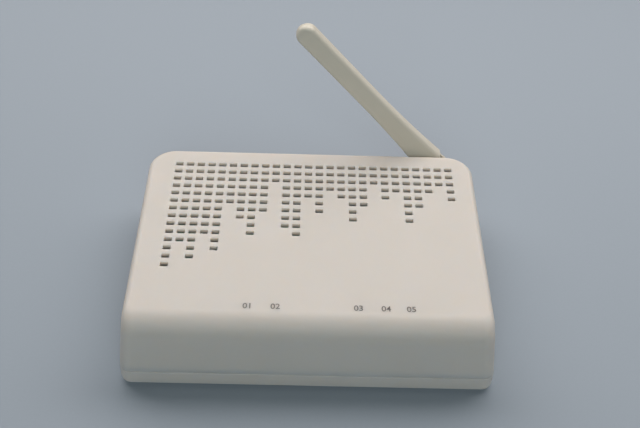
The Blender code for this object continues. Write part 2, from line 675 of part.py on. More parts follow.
def make_feet(parent):
    for where, (x, y) in mirrored_places(FOOT_SPREAD, FOOT_FROM_FRONT, FOOT_FROM_REAR).items():
        top = TRAY_BOTTOM + FOOT_RECESS - SEAT
        profile = ((FOOT_RADIUS - FOOT_EDGE, 0), (FOOT_RADIUS, FOOT_EDGE), (FOOT_RADIUS, top))
        place(f"foot_{where}", turned(profile), "rubber", parent, (x, y, 0))


def screw(shank, length, head, head_height):
    """Pan-head screw with its tip up and its head's seat at the origin."""
    flare = SCREW_FLARE_SHARE * head_height
    return turned((
        (SCREW_CROWN_SHARE * head, -head_height), (head, -head_height + flare), (head, 0),
        (shank, 0), (shank, length - shank), (SCREW_TIP_SHARE * shank, length),
    ), FINE_SIDES)


def make_cover_screws(parent):
    for where, (x, y) in boss_places().items():
        seat = TRAY_BOTTOM + SCREW_SINK - SEAT
        shape = screw(SCREW_SHANK_RADIUS, SCREW_LENGTH, SCREW_HEAD_RADIUS, SCREW_HEAD_HEIGHT)
        place(f"cover_screw_{where}", shape, "steel", parent, (x, y, seat))


def make_rear_panel(parent):
    """Flat port plate between the cover and the tray, with a cut-out for every port."""
    panel = place("rear_panel", window_block(PANEL_LAP, FLOOR + SEAT, PANEL_INNER, PANEL_OUTER),
                  "white_shell", parent)
    near, far = PANEL_INNER - CUT, PANEL_OUTER + CUT
    holes = bmesh.new()
    for x, size in ((DSL_X, DSL_SIZE), *((x, LAN_SIZE) for x in LAN_X), (INLET_X, INLET_SIZE)):
        add_box(
            holes, (x - size[0] / 2 - SEAT, near, MOUNTED - SEAT),
            (x + size[0] / 2 + SEAT, far, MOUNTED + size[2] + SEAT),
        )
    reach = BUTTON_SIDE / 2 + SEAT
    add_box(
        holes, (POWER_X - reach, near, POWER_HEIGHT - reach), (POWER_X + reach, far, POWER_HEIGHT + reach),
    )
    add_rod(holes, RESET_HOLE_RADIUS, (RESET_X, near, RESET_HEIGHT), (RESET_X, far, RESET_HEIGHT))
    add_rod(holes, SHANK_RADIUS + SEAT, (ANTENNA_X, near, ANTENNA_HEIGHT), (ANTENNA_X, far, ANTENNA_HEIGHT))
    return cut(panel, holes)


# Circuit board and what stands on it


def board_post_places():
    return [on_board(shares) for shares in BOARD_POST_SHARES]


def make_board(parent):
    outline = rounded_outline(
        (-BOARD_HALF_WIDTH, BOARD_FRONT), (BOARD_HALF_WIDTH, BOARD_REAR), BOARD_CORNER, BOARD_CORNER,
        BOARD_CORNER_STEPS,
    )
    plate = loft([[(x, y, z) for x, y in outline] for z in (BOARD_BOTTOM, BOARD_TOP)])
    board = place("main_board", plate, "board_green", parent)
    holes = bmesh.new()
    for x, y in board_post_places():
        add_rod(
            holes, BOARD_SCREW_RADIUS + SCREW_CLEARANCE, (x, y, BOARD_BOTTOM - CUT), (x, y, BOARD_TOP + CUT),
            FINE_SIDES,
        )
    return cut(board, holes)


def make_board_screws(parent):
    for number, (x, y) in enumerate(board_post_places(), 1):
        length = BOARD_THICKNESS + BOARD_POST_HEIGHT
        shape = screw(BOARD_SCREW_RADIUS, length, BOARD_SCREW_HEAD_RADIUS, BOARD_SCREW_HEAD_HEIGHT)
        bmesh.ops.rotate(shape, verts=shape.verts, matrix=Matrix.Rotation(math.pi, 3, "X"))
        place(f"board_screw_{number}", shape, "steel", parent, (x, y, MOUNTED))


def make_socket(name, parent, x, size, cavity, latch, wires):
    """Modular socket with a latch notch under its cavity, and its comb of contact wires."""
    hollow_width, hollow_depth, hollow_height = cavity
    latch_width, latch_height = latch
    floor = LATCH_FLOOR + latch_height
    ceiling = floor + hollow_height
    seat = (x, PANEL_OUTER, MOUNTED)
    socket = place(name, block_behind(size), "black_plastic", parent, seat)
    hollow = box((-hollow_width / 2, -hollow_depth, floor), (hollow_width / 2, CUT, ceiling))
    cut(socket, hollow)
    cut(socket, box((-latch_width / 2, -hollow_depth, LATCH_FLOOR), (latch_width / 2, CUT, floor + CUT)))
    make_contacts(f"{name}_contacts", parent, seat, wires, hollow_depth, ceiling)


def make_contacts(name, parent, seat, wires, depth, ceiling):
    """Comb of spring wires under the socket's ceiling, joined by a bar at their fixed end."""
    half = WIRE_THICKNESS / 2
    span = WIRE_PITCH * (wires - 1) / 2 + half
    top = ceiling - SEAT
    bar = box((-span, -COMB_SETBACK - COMB_DEPTH, top - COMB_HEIGHT), (span, -COMB_SETBACK, top))
    comb = place(name, bar, "gold", parent, seat)
    near, back = -COMB_SETBACK - WIRE_OVERLAP, -depth + SEAT
    high = top - (COMB_HEIGHT - WIRE_THICKNESS) / 2
    low = top - WIRE_DROP
    springs = bmesh.new()
    for i in range(wires):
        x = WIRE_PITCH * (i - (wires - 1) / 2)
        side = [(near, high), (near, high - WIRE_THICKNESS), (back, low - WIRE_THICKNESS), (back, low)]
        part = loft([[(x + dx, y, z) for y, z in side] for dx in (-half, half)])
        mesh = bpy.data.meshes.new("wire")
        part.to_mesh(mesh)
        part.free()
        springs.from_mesh(mesh)
        bpy.data.meshes.remove(mesh)
    return join(comb, springs)


def make_power_inlet(parent):
    """Barrel inlet: a block with a round bore and a loose centre pin."""
    axis = INLET_AXIS_HEIGHT
    inlet = place("power_inlet", block_behind(INLET_SIZE), "black_plastic", parent,
                  (INLET_X, PANEL_OUTER, MOUNTED))
    cut(inlet, rod(INLET_BORE_RADIUS, (0, -INLET_BORE_DEPTH, axis), (0, CUT, axis)))
    length = INLET_BORE_DEPTH - SEAT - INLET_PIN_TIP
    pin = turned(((INLET_PIN_RADIUS, 0), (INLET_PIN_RADIUS, length - INLET_PIN_TIP),
                  (INLET_PIN_RADIUS / 2, length)), FINE_SIDES)
    bmesh.ops.rotate(pin, verts=pin.verts, matrix=Matrix.Rotation(-math.pi / 2, 3, "X"))
    place("power_inlet_pin", pin, "steel", parent,
          (INLET_X, PANEL_OUTER - INLET_BORE_DEPTH + SEAT, MOUNTED + axis))


def make_power_switch(parent):
    """Push switch on the board and the square button that reaches out through the panel."""
    button_back = PANEL_OUTER + BUTTON_PROUD - BUTTON_DEPTH
    seat = (POWER_X, button_back - BUTTON_TRAVEL - 2 * SEAT, MOUNTED)
    body = place("power_switch", block_behind(SWITCH_SIZE), "black_plastic", parent, seat)
    middle = SWITCH_SIZE[2] / 2
    cut(body, rod(STEM_RADIUS + SEAT, (0, -STEM_LENGTH - BUTTON_TRAVEL, middle), (0, CUT, middle)))
    rings = []
    for y, inset in ((-BUTTON_DEPTH, 0.0), (-BUTTON_EDGE, 0.0), (0.0, BUTTON_EDGE)):
        half, corner = BUTTON_SIDE / 2 - inset, BUTTON_CORNER - inset
        outline = rounded_outline((-half, -half), (half, half), corner, corner, BUTTON_CORNER_STEPS)
        rings.append([(px, y, pz) for px, pz in outline])
    button = place("power_button", loft(rings), "grey_button", parent,
                   (POWER_X, PANEL_OUTER + BUTTON_PROUD, POWER_HEIGHT))
    stem_start = -BUTTON_DEPTH + CUT
    join(button, rod(STEM_RADIUS, (0, stem_start, 0), (0, -BUTTON_DEPTH - STEM_LENGTH, 0), FINE_SIDES))


def make_reset_switch(parent):
    """Recessed reset switch and the plunger behind the panel's pinhole."""
    plunger_end = PANEL_INNER - SEAT
    seat = (RESET_X, plunger_end - RESET_PLUNGER_LENGTH / 2, MOUNTED)
    body = place("reset_switch", block_behind(RESET_SIZE), "black_plastic", parent, seat)
    reach = RESET_PLUNGER_LENGTH / 2 + RESET_TRAVEL + SEAT
    middle = RESET_SIZE[2] / 2
    cut(body, rod(RESET_PLUNGER_RADIUS + SEAT, (0, -reach, middle), (0, CUT, middle)))
    plunger = rod(RESET_PLUNGER_RADIUS, (0, 0, 0), (0, -RESET_PLUNGER_LENGTH, 0))
    place("reset_button", plunger, "grey_button", parent, (RESET_X, plunger_end, RESET_HEIGHT))


def make_chips(parent):
    """Flat packages on the board."""
    for name, shares, size, finish_name in (
        ("processor", PROCESSOR_PLACE, PROCESSOR_SIZE, "chip_black"),
        ("memory_chip", MEMORY_PLACE, MEMORY_SIZE, "chip_black"),
        ("flash_chip", FLASH_PLACE, FLASH_SIZE, "chip_black"),
        ("line_driver", DRIVER_PLACE, DRIVER_SIZE, "chip_black"),
        ("wireless_shield", SHIELD_PLACE, SHIELD_SIZE, "steel"),
        ("crystal", CRYSTAL_PLACE, CRYSTAL_SIZE, "steel"),
    ):
        place(name, block(size, SMALL_EDGE), finish_name, parent, (*on_board(shares), MOUNTED))


def make_heat_sink(parent):
    """Extruded comb of fins that sits on the processor."""
    half = SINK_SIDE / 2
    pitch = (SINK_SIDE - SINK_FIN) / (SINK_FIN_COUNT - 1)
    top = SINK_BASE + SINK_FIN_HEIGHT
    profile = [(-half, 0), (half, 0)]
    for i in reversed(range(SINK_FIN_COUNT)):
        x = pitch * i - half
        profile += [(x + SINK_FIN, SINK_BASE), (x + SINK_FIN, top), (x, top), (x, SINK_BASE)]
    shape = loft([[(x, y, z) for x, z in profile] for y in (-half, half)])
    place("heat_sink", shape, "aluminium", parent,
          (*on_board(PROCESSOR_PLACE), MOUNTED + PROCESSOR_SIZE[2] + SEAT))


def make_wound_parts(parent):
    """Line and network transformers and the power coil: a foot, a waist and a flange above."""
    for name, shares, (width, depth, height) in (
        ("line_transformer", LINE_TRANSFORMER_PLACE, LINE_TRANSFORMER_SIZE),
        ("network_transformer", NETWORK_TRANSFORMER_PLACE, NETWORK_TRANSFORMER_SIZE),
    ):
        rings = []
        for level, share in TRANSFORMER_SECTIONS:
            w, d = width / 2 * share, depth / 2 * share
            outline = rounded_outline((-w, -d), (w, d), TRANSFORMER_CORNER, TRANSFORMER_CORNER,
                                      BOARD_CORNER_STEPS)
            rings.append([(px, py, height * level) for px, py in outline])
        place(name, loft(rings), "ferrite", parent, (*on_board(shares), MOUNTED))
    waist, slope_end = COIL_RADIUS - COIL_WAIST, COIL_FLANGE + COIL_SLOPE
    coil = turned((
        (COIL_RADIUS, 0), (COIL_RADIUS, COIL_FLANGE), (waist, slope_end), (waist, COIL_HEIGHT - slope_end),
        (COIL_RADIUS, COIL_HEIGHT - COIL_FLANGE), (COIL_RADIUS, COIL_HEIGHT),
    ))
    place("power_coil", coil, "ferrite", parent, (*on_board(COIL_PLACE), MOUNTED))


def make_capacitors(parent):
    """Round electrolytic capacitors with a rolled groove near the foot."""
    low, step = CAPACITOR_GROOVE_HEIGHT, CAPACITOR_GROOVE_STEP
    for number, (shares, radius, height) in enumerate(
        zip(CAPACITOR_PLACES, CAPACITOR_RADII, CAPACITOR_HEIGHTS), 1,
    ):
        neck = radius - CAPACITOR_GROOVE
        profile = (
            (radius, 0), (radius, low), (neck, low + step), (neck, low + 2 * step), (radius, low + 3 * step),
            (radius, height - CAPACITOR_EDGE), (radius - CAPACITOR_EDGE, height),
        )
        place(f"capacitor_{number}", turned(profile), "aluminium", parent, (*on_board(shares), MOUNTED))


def make_lamps(parent):
    y = BODY_FRONT + LAMP_FROM_FRONT
    for number, x in enumerate(LAMP_X, 1):
        place(f"lamp_{number}", block(LAMP_SIZE, SMALL_EDGE), "lamp", parent, (x, y, MOUNTED))


def make_light_guide(parent):
    """One clear moulding: a pipe over each lamp, tied by a bar that stands on two legs."""
    lamp_top = MOUNTED + LAMP_SIZE[2] + SEAT
    y = BODY_FRONT + LAMP_FROM_FRONT
    nose_inner = FRONT_NOSE_RADIUS - WALL
    lean = (BODY_TOP - PARTING_HEIGHT) * math.tan(FRONT_DRAFT)
    from_centre = FRONT_NOSE_RADIUS + lean - LAMP_FROM_FRONT + GUIDE_RADIUS
    under_nose = math.sqrt(max(nose_inner ** 2 - from_centre ** 2, 0))
    pipe_top = BODY_TOP - FRONT_NOSE_RADIUS + under_nose - 2 * SEAT
    guide = place("light_guide", box(
        (min(LAMP_X) - GUIDE_BAR / 2, y - GUIDE_BAR / 2, GUIDE_BAR_HEIGHT),
        (max(LAMP_X) + GUIDE_BAR / 2, y + GUIDE_BAR / 2, GUIDE_BAR_HEIGHT + GUIDE_BAR),
    ), "clear_guide", parent)
    pipes = bmesh.new()
    for x in LAMP_X:
        add_rod(pipes, GUIDE_RADIUS, (x, y, lamp_top), (x, y, pipe_top), FINE_SIDES)
    join(guide, pipes)
    between = (LAMP_X[1] + LAMP_X[2]) / 2
    legs = bmesh.new()
    for x in (between - GUIDE_LEG_SPREAD, between + GUIDE_LEG_SPREAD):
        add_box(legs, (x - GUIDE_LEG, y - GUIDE_LEG / 2, MOUNTED),
                (x + GUIDE_LEG, y + GUIDE_LEG / 2, GUIDE_BAR_HEIGHT + GUIDE_BAR / 2))
    return join(guide, legs)


# Antenna


def sleeve_ring(height):
    """The sleeve's section at a height above the fold pin: a flared foot, a long blade and a round tip."""
    along = min(max((height - SLEEVE_START) / SLEEVE_FLARE, 0.0), 1.0)
    ease = (1 - along) ** 2
    straight = (height - SLEEVE_START) / (ANTENNA_LENGTH - SLEEVE_START)
    width = SLEEVE_WIDTH + (SLEEVE_FOOT_WIDTH - SLEEVE_WIDTH) * ease
    width += (SLEEVE_TIP_WIDTH - SLEEVE_WIDTH) * straight
    depth = SLEEVE_DEPTH + (SLEEVE_FOOT_DEPTH - SLEEVE_DEPTH) * ease
    tip = SLEEVE_TIP_WIDTH / 2
    above = max(height - (ANTENNA_LENGTH - tip), 0.0) / tip
    close = math.sqrt(max(1 - above * above, 0.0))
    half_width = max(width / 2 * close, SLEEVE_TIP_FLAT)
    half_depth = max(depth / 2 * close ** SLEEVE_TIP_FULLNESS, SLEEVE_TIP_FLAT)
    edge = min(SLEEVE_EDGE, SLEEVE_EDGE_SHARE * half_width, SLEEVE_EDGE_SHARE * half_depth)
    outline = rounded_outline((-half_width, -half_depth), (half_width, half_depth), edge, edge,
                              SLEEVE_CORNER_STEPS)
    return [(x, y, height) for x, y in outline]


def make_sleeve(parent):
    """Hollow paddle, open at its foot, that covers the radiating element."""
    tip = SLEEVE_TIP_WIDTH / 2
    shoulder = ANTENNA_LENGTH - tip
    heights = [SLEEVE_START + SLEEVE_FLARE * i / SLEEVE_FLARE_STEPS for i in range(SLEEVE_FLARE_STEPS + 1)]
    quarter = math.pi / 2 / SLEEVE_TIP_STEPS
    heights += [shoulder + tip * math.sin(quarter * i) for i in range(SLEEVE_TIP_STEPS + 1)]
    sleeve = place("antenna_sleeve", loft([sleeve_ring(z) for z in heights]), "white_sleeve", parent)
    return cut(sleeve, box(
        (-SLEEVE_BORE_WIDTH / 2, -SLEEVE_BORE_DEPTH / 2, SLEEVE_START - CUT),
        (SLEEVE_BORE_WIDTH / 2, SLEEVE_BORE_DEPTH / 2, SLEEVE_START + SLEEVE_BORE_LENGTH),
    ))


def make_knuckle(parent):
    """Clevis at the sleeve's foot: two round ears about the fold pin, a web, and a plug into the sleeve."""
    top = SLEEVE_START - SEAT
    half = KNUCKLE_HALF_WIDTH
    side = [(KNUCKLE_RADIUS, top), (-KNUCKLE_RADIUS, top)]
    side += arc((0, 0), KNUCKLE_RADIUS, 180, 360, KNUCKLE_STEPS)
    depth = SLEEVE_FOOT_DEPTH / 2 - KNUCKLE_STEP
    side = [(max(min(y, depth), -depth) if z > 0 else y, z) for y, z in side]
    knuckle = place("antenna_knuckle", loft([[(x, y, z) for y, z in side] for x in (-half, half)]),
                    "white_sleeve", parent)
    plug_width, plug_depth = SLEEVE_BORE_WIDTH / 2 - SEAT, SLEEVE_BORE_DEPTH / 2 - SEAT
    plug_end = top + KNUCKLE_PLUG_LENGTH
    join(knuckle, box((-plug_width, -plug_depth, top - CUT), (plug_width, plug_depth, plug_end)))
    gap = LUG_HALF_WIDTH + FORK_CLEARANCE
    cut(knuckle, box((-gap, -2 * KNUCKLE_RADIUS, -2 * KNUCKLE_RADIUS),
                     (gap, 2 * KNUCKLE_RADIUS, KNUCKLE_WEB_START)))
    return cut(knuckle, rod(PIN_RADIUS + PIN_CLEARANCE, (-2 * half, 0, 0), (2 * half, 0, 0)))


def make_swivel(parent):
    """Round barrel that turns in the panel, with a lug for the fold pin and a bore for the lead."""
    tail = PANEL_INNER - SHANK_TAIL - ANTENNA_Y
    groove_rear = PANEL_INNER - SEAT - ANTENNA_Y
    groove_front = groove_rear - CLIP_THICKNESS - SEAT
    profile = (
        (SHANK_RADIUS, tail), (SHANK_RADIUS, groove_front), (SHANK_RADIUS - CLIP_GROOVE, groove_front),
        (SHANK_RADIUS - CLIP_GROOVE, groove_rear), (SHANK_RADIUS, groove_rear), (SHANK_RADIUS, FLANGE),
        (BARREL_RADIUS, FLANGE), (BARREL_RADIUS, BARREL_FRONT - BARREL_EDGE),
        (BARREL_RADIUS - BARREL_EDGE, BARREL_FRONT),
    )
    barrel = turned(profile)
    bmesh.ops.rotate(barrel, verts=barrel.verts, matrix=Matrix.Rotation(-math.pi / 2, 3, "X"))
    swivel = place("antenna_swivel", barrel, "white_sleeve", parent)
    neck, half = LUG_RADIUS * LUG_NECK_SHARE, LUG_HALF_WIDTH - LUG_NECK_INSET
    join(swivel, rod(LUG_RADIUS, (-LUG_HALF_WIDTH, 0, 0), (LUG_HALF_WIDTH, 0, 0)))
    join(swivel, box((-half, BARREL_FRONT - CUT, -neck), (half, 0, neck)))
    cut(swivel, rod(PIN_RADIUS + PIN_CLEARANCE, (-2 * LUG_HALF_WIDTH, 0, 0), (2 * LUG_HALF_WIDTH, 0, 0)))
    return cut(swivel, rod(LEAD_BORE_RADIUS, (0, tail - CUT, 0), (0, BARREL_FRONT - CUT, 0), FINE_SIDES))


def make_clip(parent):
    """Split ring in the shank's groove that keeps the swivel in the panel."""
    rear = PANEL_INNER - SEAT - ANTENNA_Y - SEAT / 2
    front = rear - CLIP_THICKNESS + SEAT / 2
    clip = place("antenna_clip", rod(CLIP_RADIUS, (0, front, 0), (0, rear, 0)), "steel", parent)
    hole = rod(SHANK_RADIUS - CLIP_GROOVE + PIN_CLEARANCE, (0, front - CUT, 0), (0, rear + CUT, 0))
    cut(clip, hole)
    mouth = SHANK_RADIUS * CLIP_MOUTH_SHARE
    return cut(clip, box((-mouth, front - CUT, -2 * CLIP_RADIUS), (mouth, rear + CUT, 0)))


def make_fold_pin(parent):
    half = KNUCKLE_HALF_WIDTH - SEAT
    return place("antenna_pin", rod(PIN_RADIUS, (-half, 0, 0), (half, 0, 0)), "steel", parent)


def make_element(parent):
    """Printed radiator strip inside the sleeve, standing on the knuckle's plug."""
    bottom = SLEEVE_START + KNUCKLE_PLUG_LENGTH
    top = SLEEVE_START + SLEEVE_BORE_LENGTH - SEAT
    shape = block((ELEMENT_WIDTH, ELEMENT_THICKNESS, top - bottom))
    return place("antenna_element", shape, "board_green", parent, (0, 0, bottom))


def lead_route(start, end):
    """Points along the curve that leaves the shank forwards and lands on the board forwards."""
    leaving = start - Vector((0, LEAD_LEAVING, 0))
    landing = end + Vector((0, LEAD_LANDING, 0))
    for i in range(LEAD_STEPS + 1):
        t = i / LEAD_STEPS
        u = 1 - t
        yield u ** 3 * start + 3 * u * u * t * leaving + 3 * u * t * t * landing + t ** 3 * end


def make_lead(parent):
    """Thin coaxial lead from the swivel's bore down to its solder ferrule on the board."""
    x, y = on_board(FERRULE_PLACE)
    place("lead_ferrule", block(FERRULE_SIZE, SMALL_EDGE), "steel", parent, (x, y, MOUNTED))
    start = Vector((ANTENNA_X, PANEL_INNER - SHANK_TAIL + LEAD_INSERT, ANTENNA_HEIGHT))
    end = Vector((x, y + FERRULE_SIZE[1] / 2 + SEAT, MOUNTED + FERRULE_SIZE[2] / 2))
    curve = bpy.data.curves.new("antenna_lead", "CURVE")
    curve.dimensions = "3D"
    curve.bevel_depth = LEAD_RADIUS
    curve.bevel_resolution = LEAD_SIDE_STEPS
    curve.use_fill_caps = True
    spline = curve.splines.new("POLY")
    spline.points.add(LEAD_STEPS)
    for point, where in zip(spline.points, lead_route(start, end)):
        point.co = (*where, 1)
    curve.materials.append(finish("black_plastic"))
    lead = bpy.data.objects.new("antenna_lead", curve)
    bpy.context.scene.collection.objects.link(lead)
    lead.parent = parent


def main():
    clear_scene()
    root = axis_empty("modem", None, (0, 0, 0))
    make_top_cover(root)
    make_bottom_tray(root)
    make_rear_panel(root)
    make_feet(root)
    make_cover_screws(root)
    make_board(root)
    make_board_screws(root)
    make_socket("dsl_socket", root, DSL_X, DSL_SIZE, DSL_CAVITY, DSL_LATCH, DSL_WIRE_COUNT)
    for number, x in enumerate(LAN_X, 1):
        make_socket(f"lan_socket_{number}", root, x, LAN_SIZE, LAN_CAVITY, LAN_LATCH, LAN_WIRE_COUNT)
    make_power_inlet(root)
    make_power_switch(root)
    make_reset_switch(root)
    make_chips(root)
    make_heat_sink(root)
    make_wound_parts(root)
    make_capacitors(root)
    make_lamps(root)
    make_light_guide(root)
    pivot = (ANTENNA_X, ANTENNA_Y, ANTENNA_HEIGHT)
    swivel_axis = axis_empty("swivel_axis", root, pivot, (0, -ANTENNA_LEAN, 0))
    fold_axis = axis_empty("fold_axis", swivel_axis, (0, 0, 0))
    make_swivel(swivel_axis)
    make_clip(swivel_axis)
    make_sleeve(fold_axis)
    make_knuckle(fold_axis)
    make_fold_pin(fold_axis)
    make_element(fold_axis)
    make_lead(root)


main()
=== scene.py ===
"""Looks of a small wireless modem, modelled with Blender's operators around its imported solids.

The housing, the antenna, the ports and the feet are fine pieces that stand for their plainer solids. What
lies inside the housing keeps its solid and gets a finish. Lengths are in metres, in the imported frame.
"""

import json
import logging
import math
from collections.abc import Callable, Iterable, Iterator, Mapping, Sequence
from contextlib import contextmanager
from dataclasses import dataclass, field
from enum import Enum
from typing import Any

import bmesh
import bpy
from mathutils import Matrix, Vector


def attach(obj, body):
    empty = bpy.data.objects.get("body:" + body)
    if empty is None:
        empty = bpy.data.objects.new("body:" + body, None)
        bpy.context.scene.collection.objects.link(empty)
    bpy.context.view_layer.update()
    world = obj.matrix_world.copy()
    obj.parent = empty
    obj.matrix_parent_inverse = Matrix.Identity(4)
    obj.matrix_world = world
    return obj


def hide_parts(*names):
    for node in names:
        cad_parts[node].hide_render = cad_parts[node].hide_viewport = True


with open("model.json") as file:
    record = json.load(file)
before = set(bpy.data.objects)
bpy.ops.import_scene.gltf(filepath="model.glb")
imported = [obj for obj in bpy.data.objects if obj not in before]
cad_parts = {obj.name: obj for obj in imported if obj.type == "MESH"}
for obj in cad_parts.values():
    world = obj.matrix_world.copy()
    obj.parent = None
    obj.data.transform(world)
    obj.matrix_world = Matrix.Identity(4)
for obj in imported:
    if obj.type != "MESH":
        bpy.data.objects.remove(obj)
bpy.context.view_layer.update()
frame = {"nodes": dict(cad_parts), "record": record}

LOG = logging.getLogger("modem")

Colour = tuple[float, float, float]
Point = Sequence[float]
Steps = Sequence[tuple[float, float]]
EdgeTest = Callable[[bmesh.types.BMEdge], bool]
FaceTest = Callable[[bmesh.types.BMFace], bool]

MM = 0.001
OVERSHOOT = 1.0 * MM  # How far a cutter or a rooted piece runs on past a face.
TOUCH = 0.01 * MM  # Distance within which two places count as one.
FACING = 0.9  # Least part of a unit normal that points the way a face is said to face.
LEANING = 0.7  # The same for a face that may lean.
PARALLEL = 0.99  # Least part of an edge's unit way along the axis that it is said to follow.
SMOOTH_ANGLE = math.radians(38)
SHARP_ANGLE = math.radians(50)
QUARTER_TURN = math.pi / 2
ROUND_SIDES = 48
UNSCALED = (1.0, 1.0, 1.0)
FACING_REAR = Matrix.Rotation(-QUARTER_TURN, 4, "X")


class Body(Enum):
    """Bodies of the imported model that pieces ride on."""

    HOUSING = "housing"
    POWER_BUTTON = "power_button"
    RESET_BUTTON = "reset_button"
    SWIVEL = "antenna_swivel"
    PADDLE = "antenna_paddle"


class Slot(Enum):
    """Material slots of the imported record."""

    COVER = "cover_white"
    ANTENNA = "antenna_white"
    BLACK = "black_plastic"
    BUTTON = "grey_button"
    FOOT = "foot_rubber"
    STEEL = "plated_steel"
    GOLD = "gold_contact"
    BOARD = "board_green"
    CHIP = "chip_black"
    ALUMINIUM = "bare_aluminium"
    FERRITE = "ferrite"
    GUIDE = "clear_guide"
    LAMP = "lamp_clear"


class Element(Enum):
    """What a selection in edit mode picks."""

    CORNER = "VERT"
    EDGE = "EDGE"
    FACE = "FACE"


class Join(Enum):
    """How a tool is combined with the piece that it works on."""

    ADD = "UNION"
    CUT = "DIFFERENCE"


class Axis(Enum):
    """Axes of the frame."""

    X = 0
    Y = 1
    Z = 2


# Modelling


def clear_selection() -> None:
    """Leaves edit mode and deselects everything."""
    if bpy.context.object is not None and bpy.context.object.mode != "OBJECT":
        bpy.ops.object.mode_set(mode="OBJECT")
    bpy.ops.object.select_all(action="DESELECT")


def fillet_inset(radius: float, below_top: float) -> float:
    """How far a rounded edge draws in at a depth below the face that it rounds into.

    Args:
        radius: Radius of the rounding.
        below_top: Depth below the face.

    Returns:
        The distance from the straight wall.
    """
    rise = radius - min(below_top, radius)
    return radius - math.sqrt(radius * radius - rise * rise)


@dataclass(frozen=True)
class Outline:
    """A rectangle in plan at one height, with its own corner radius at the front and at the rear."""

    left: float
    right: float
    front: float
    rear: float
    front_radius: float
    rear_radius: float
    height: float

    def middle(self) -> Vector:
        """The rectangle's centre."""
        return Vector(((self.left + self.right) / 2, (self.front + self.rear) / 2, self.height))


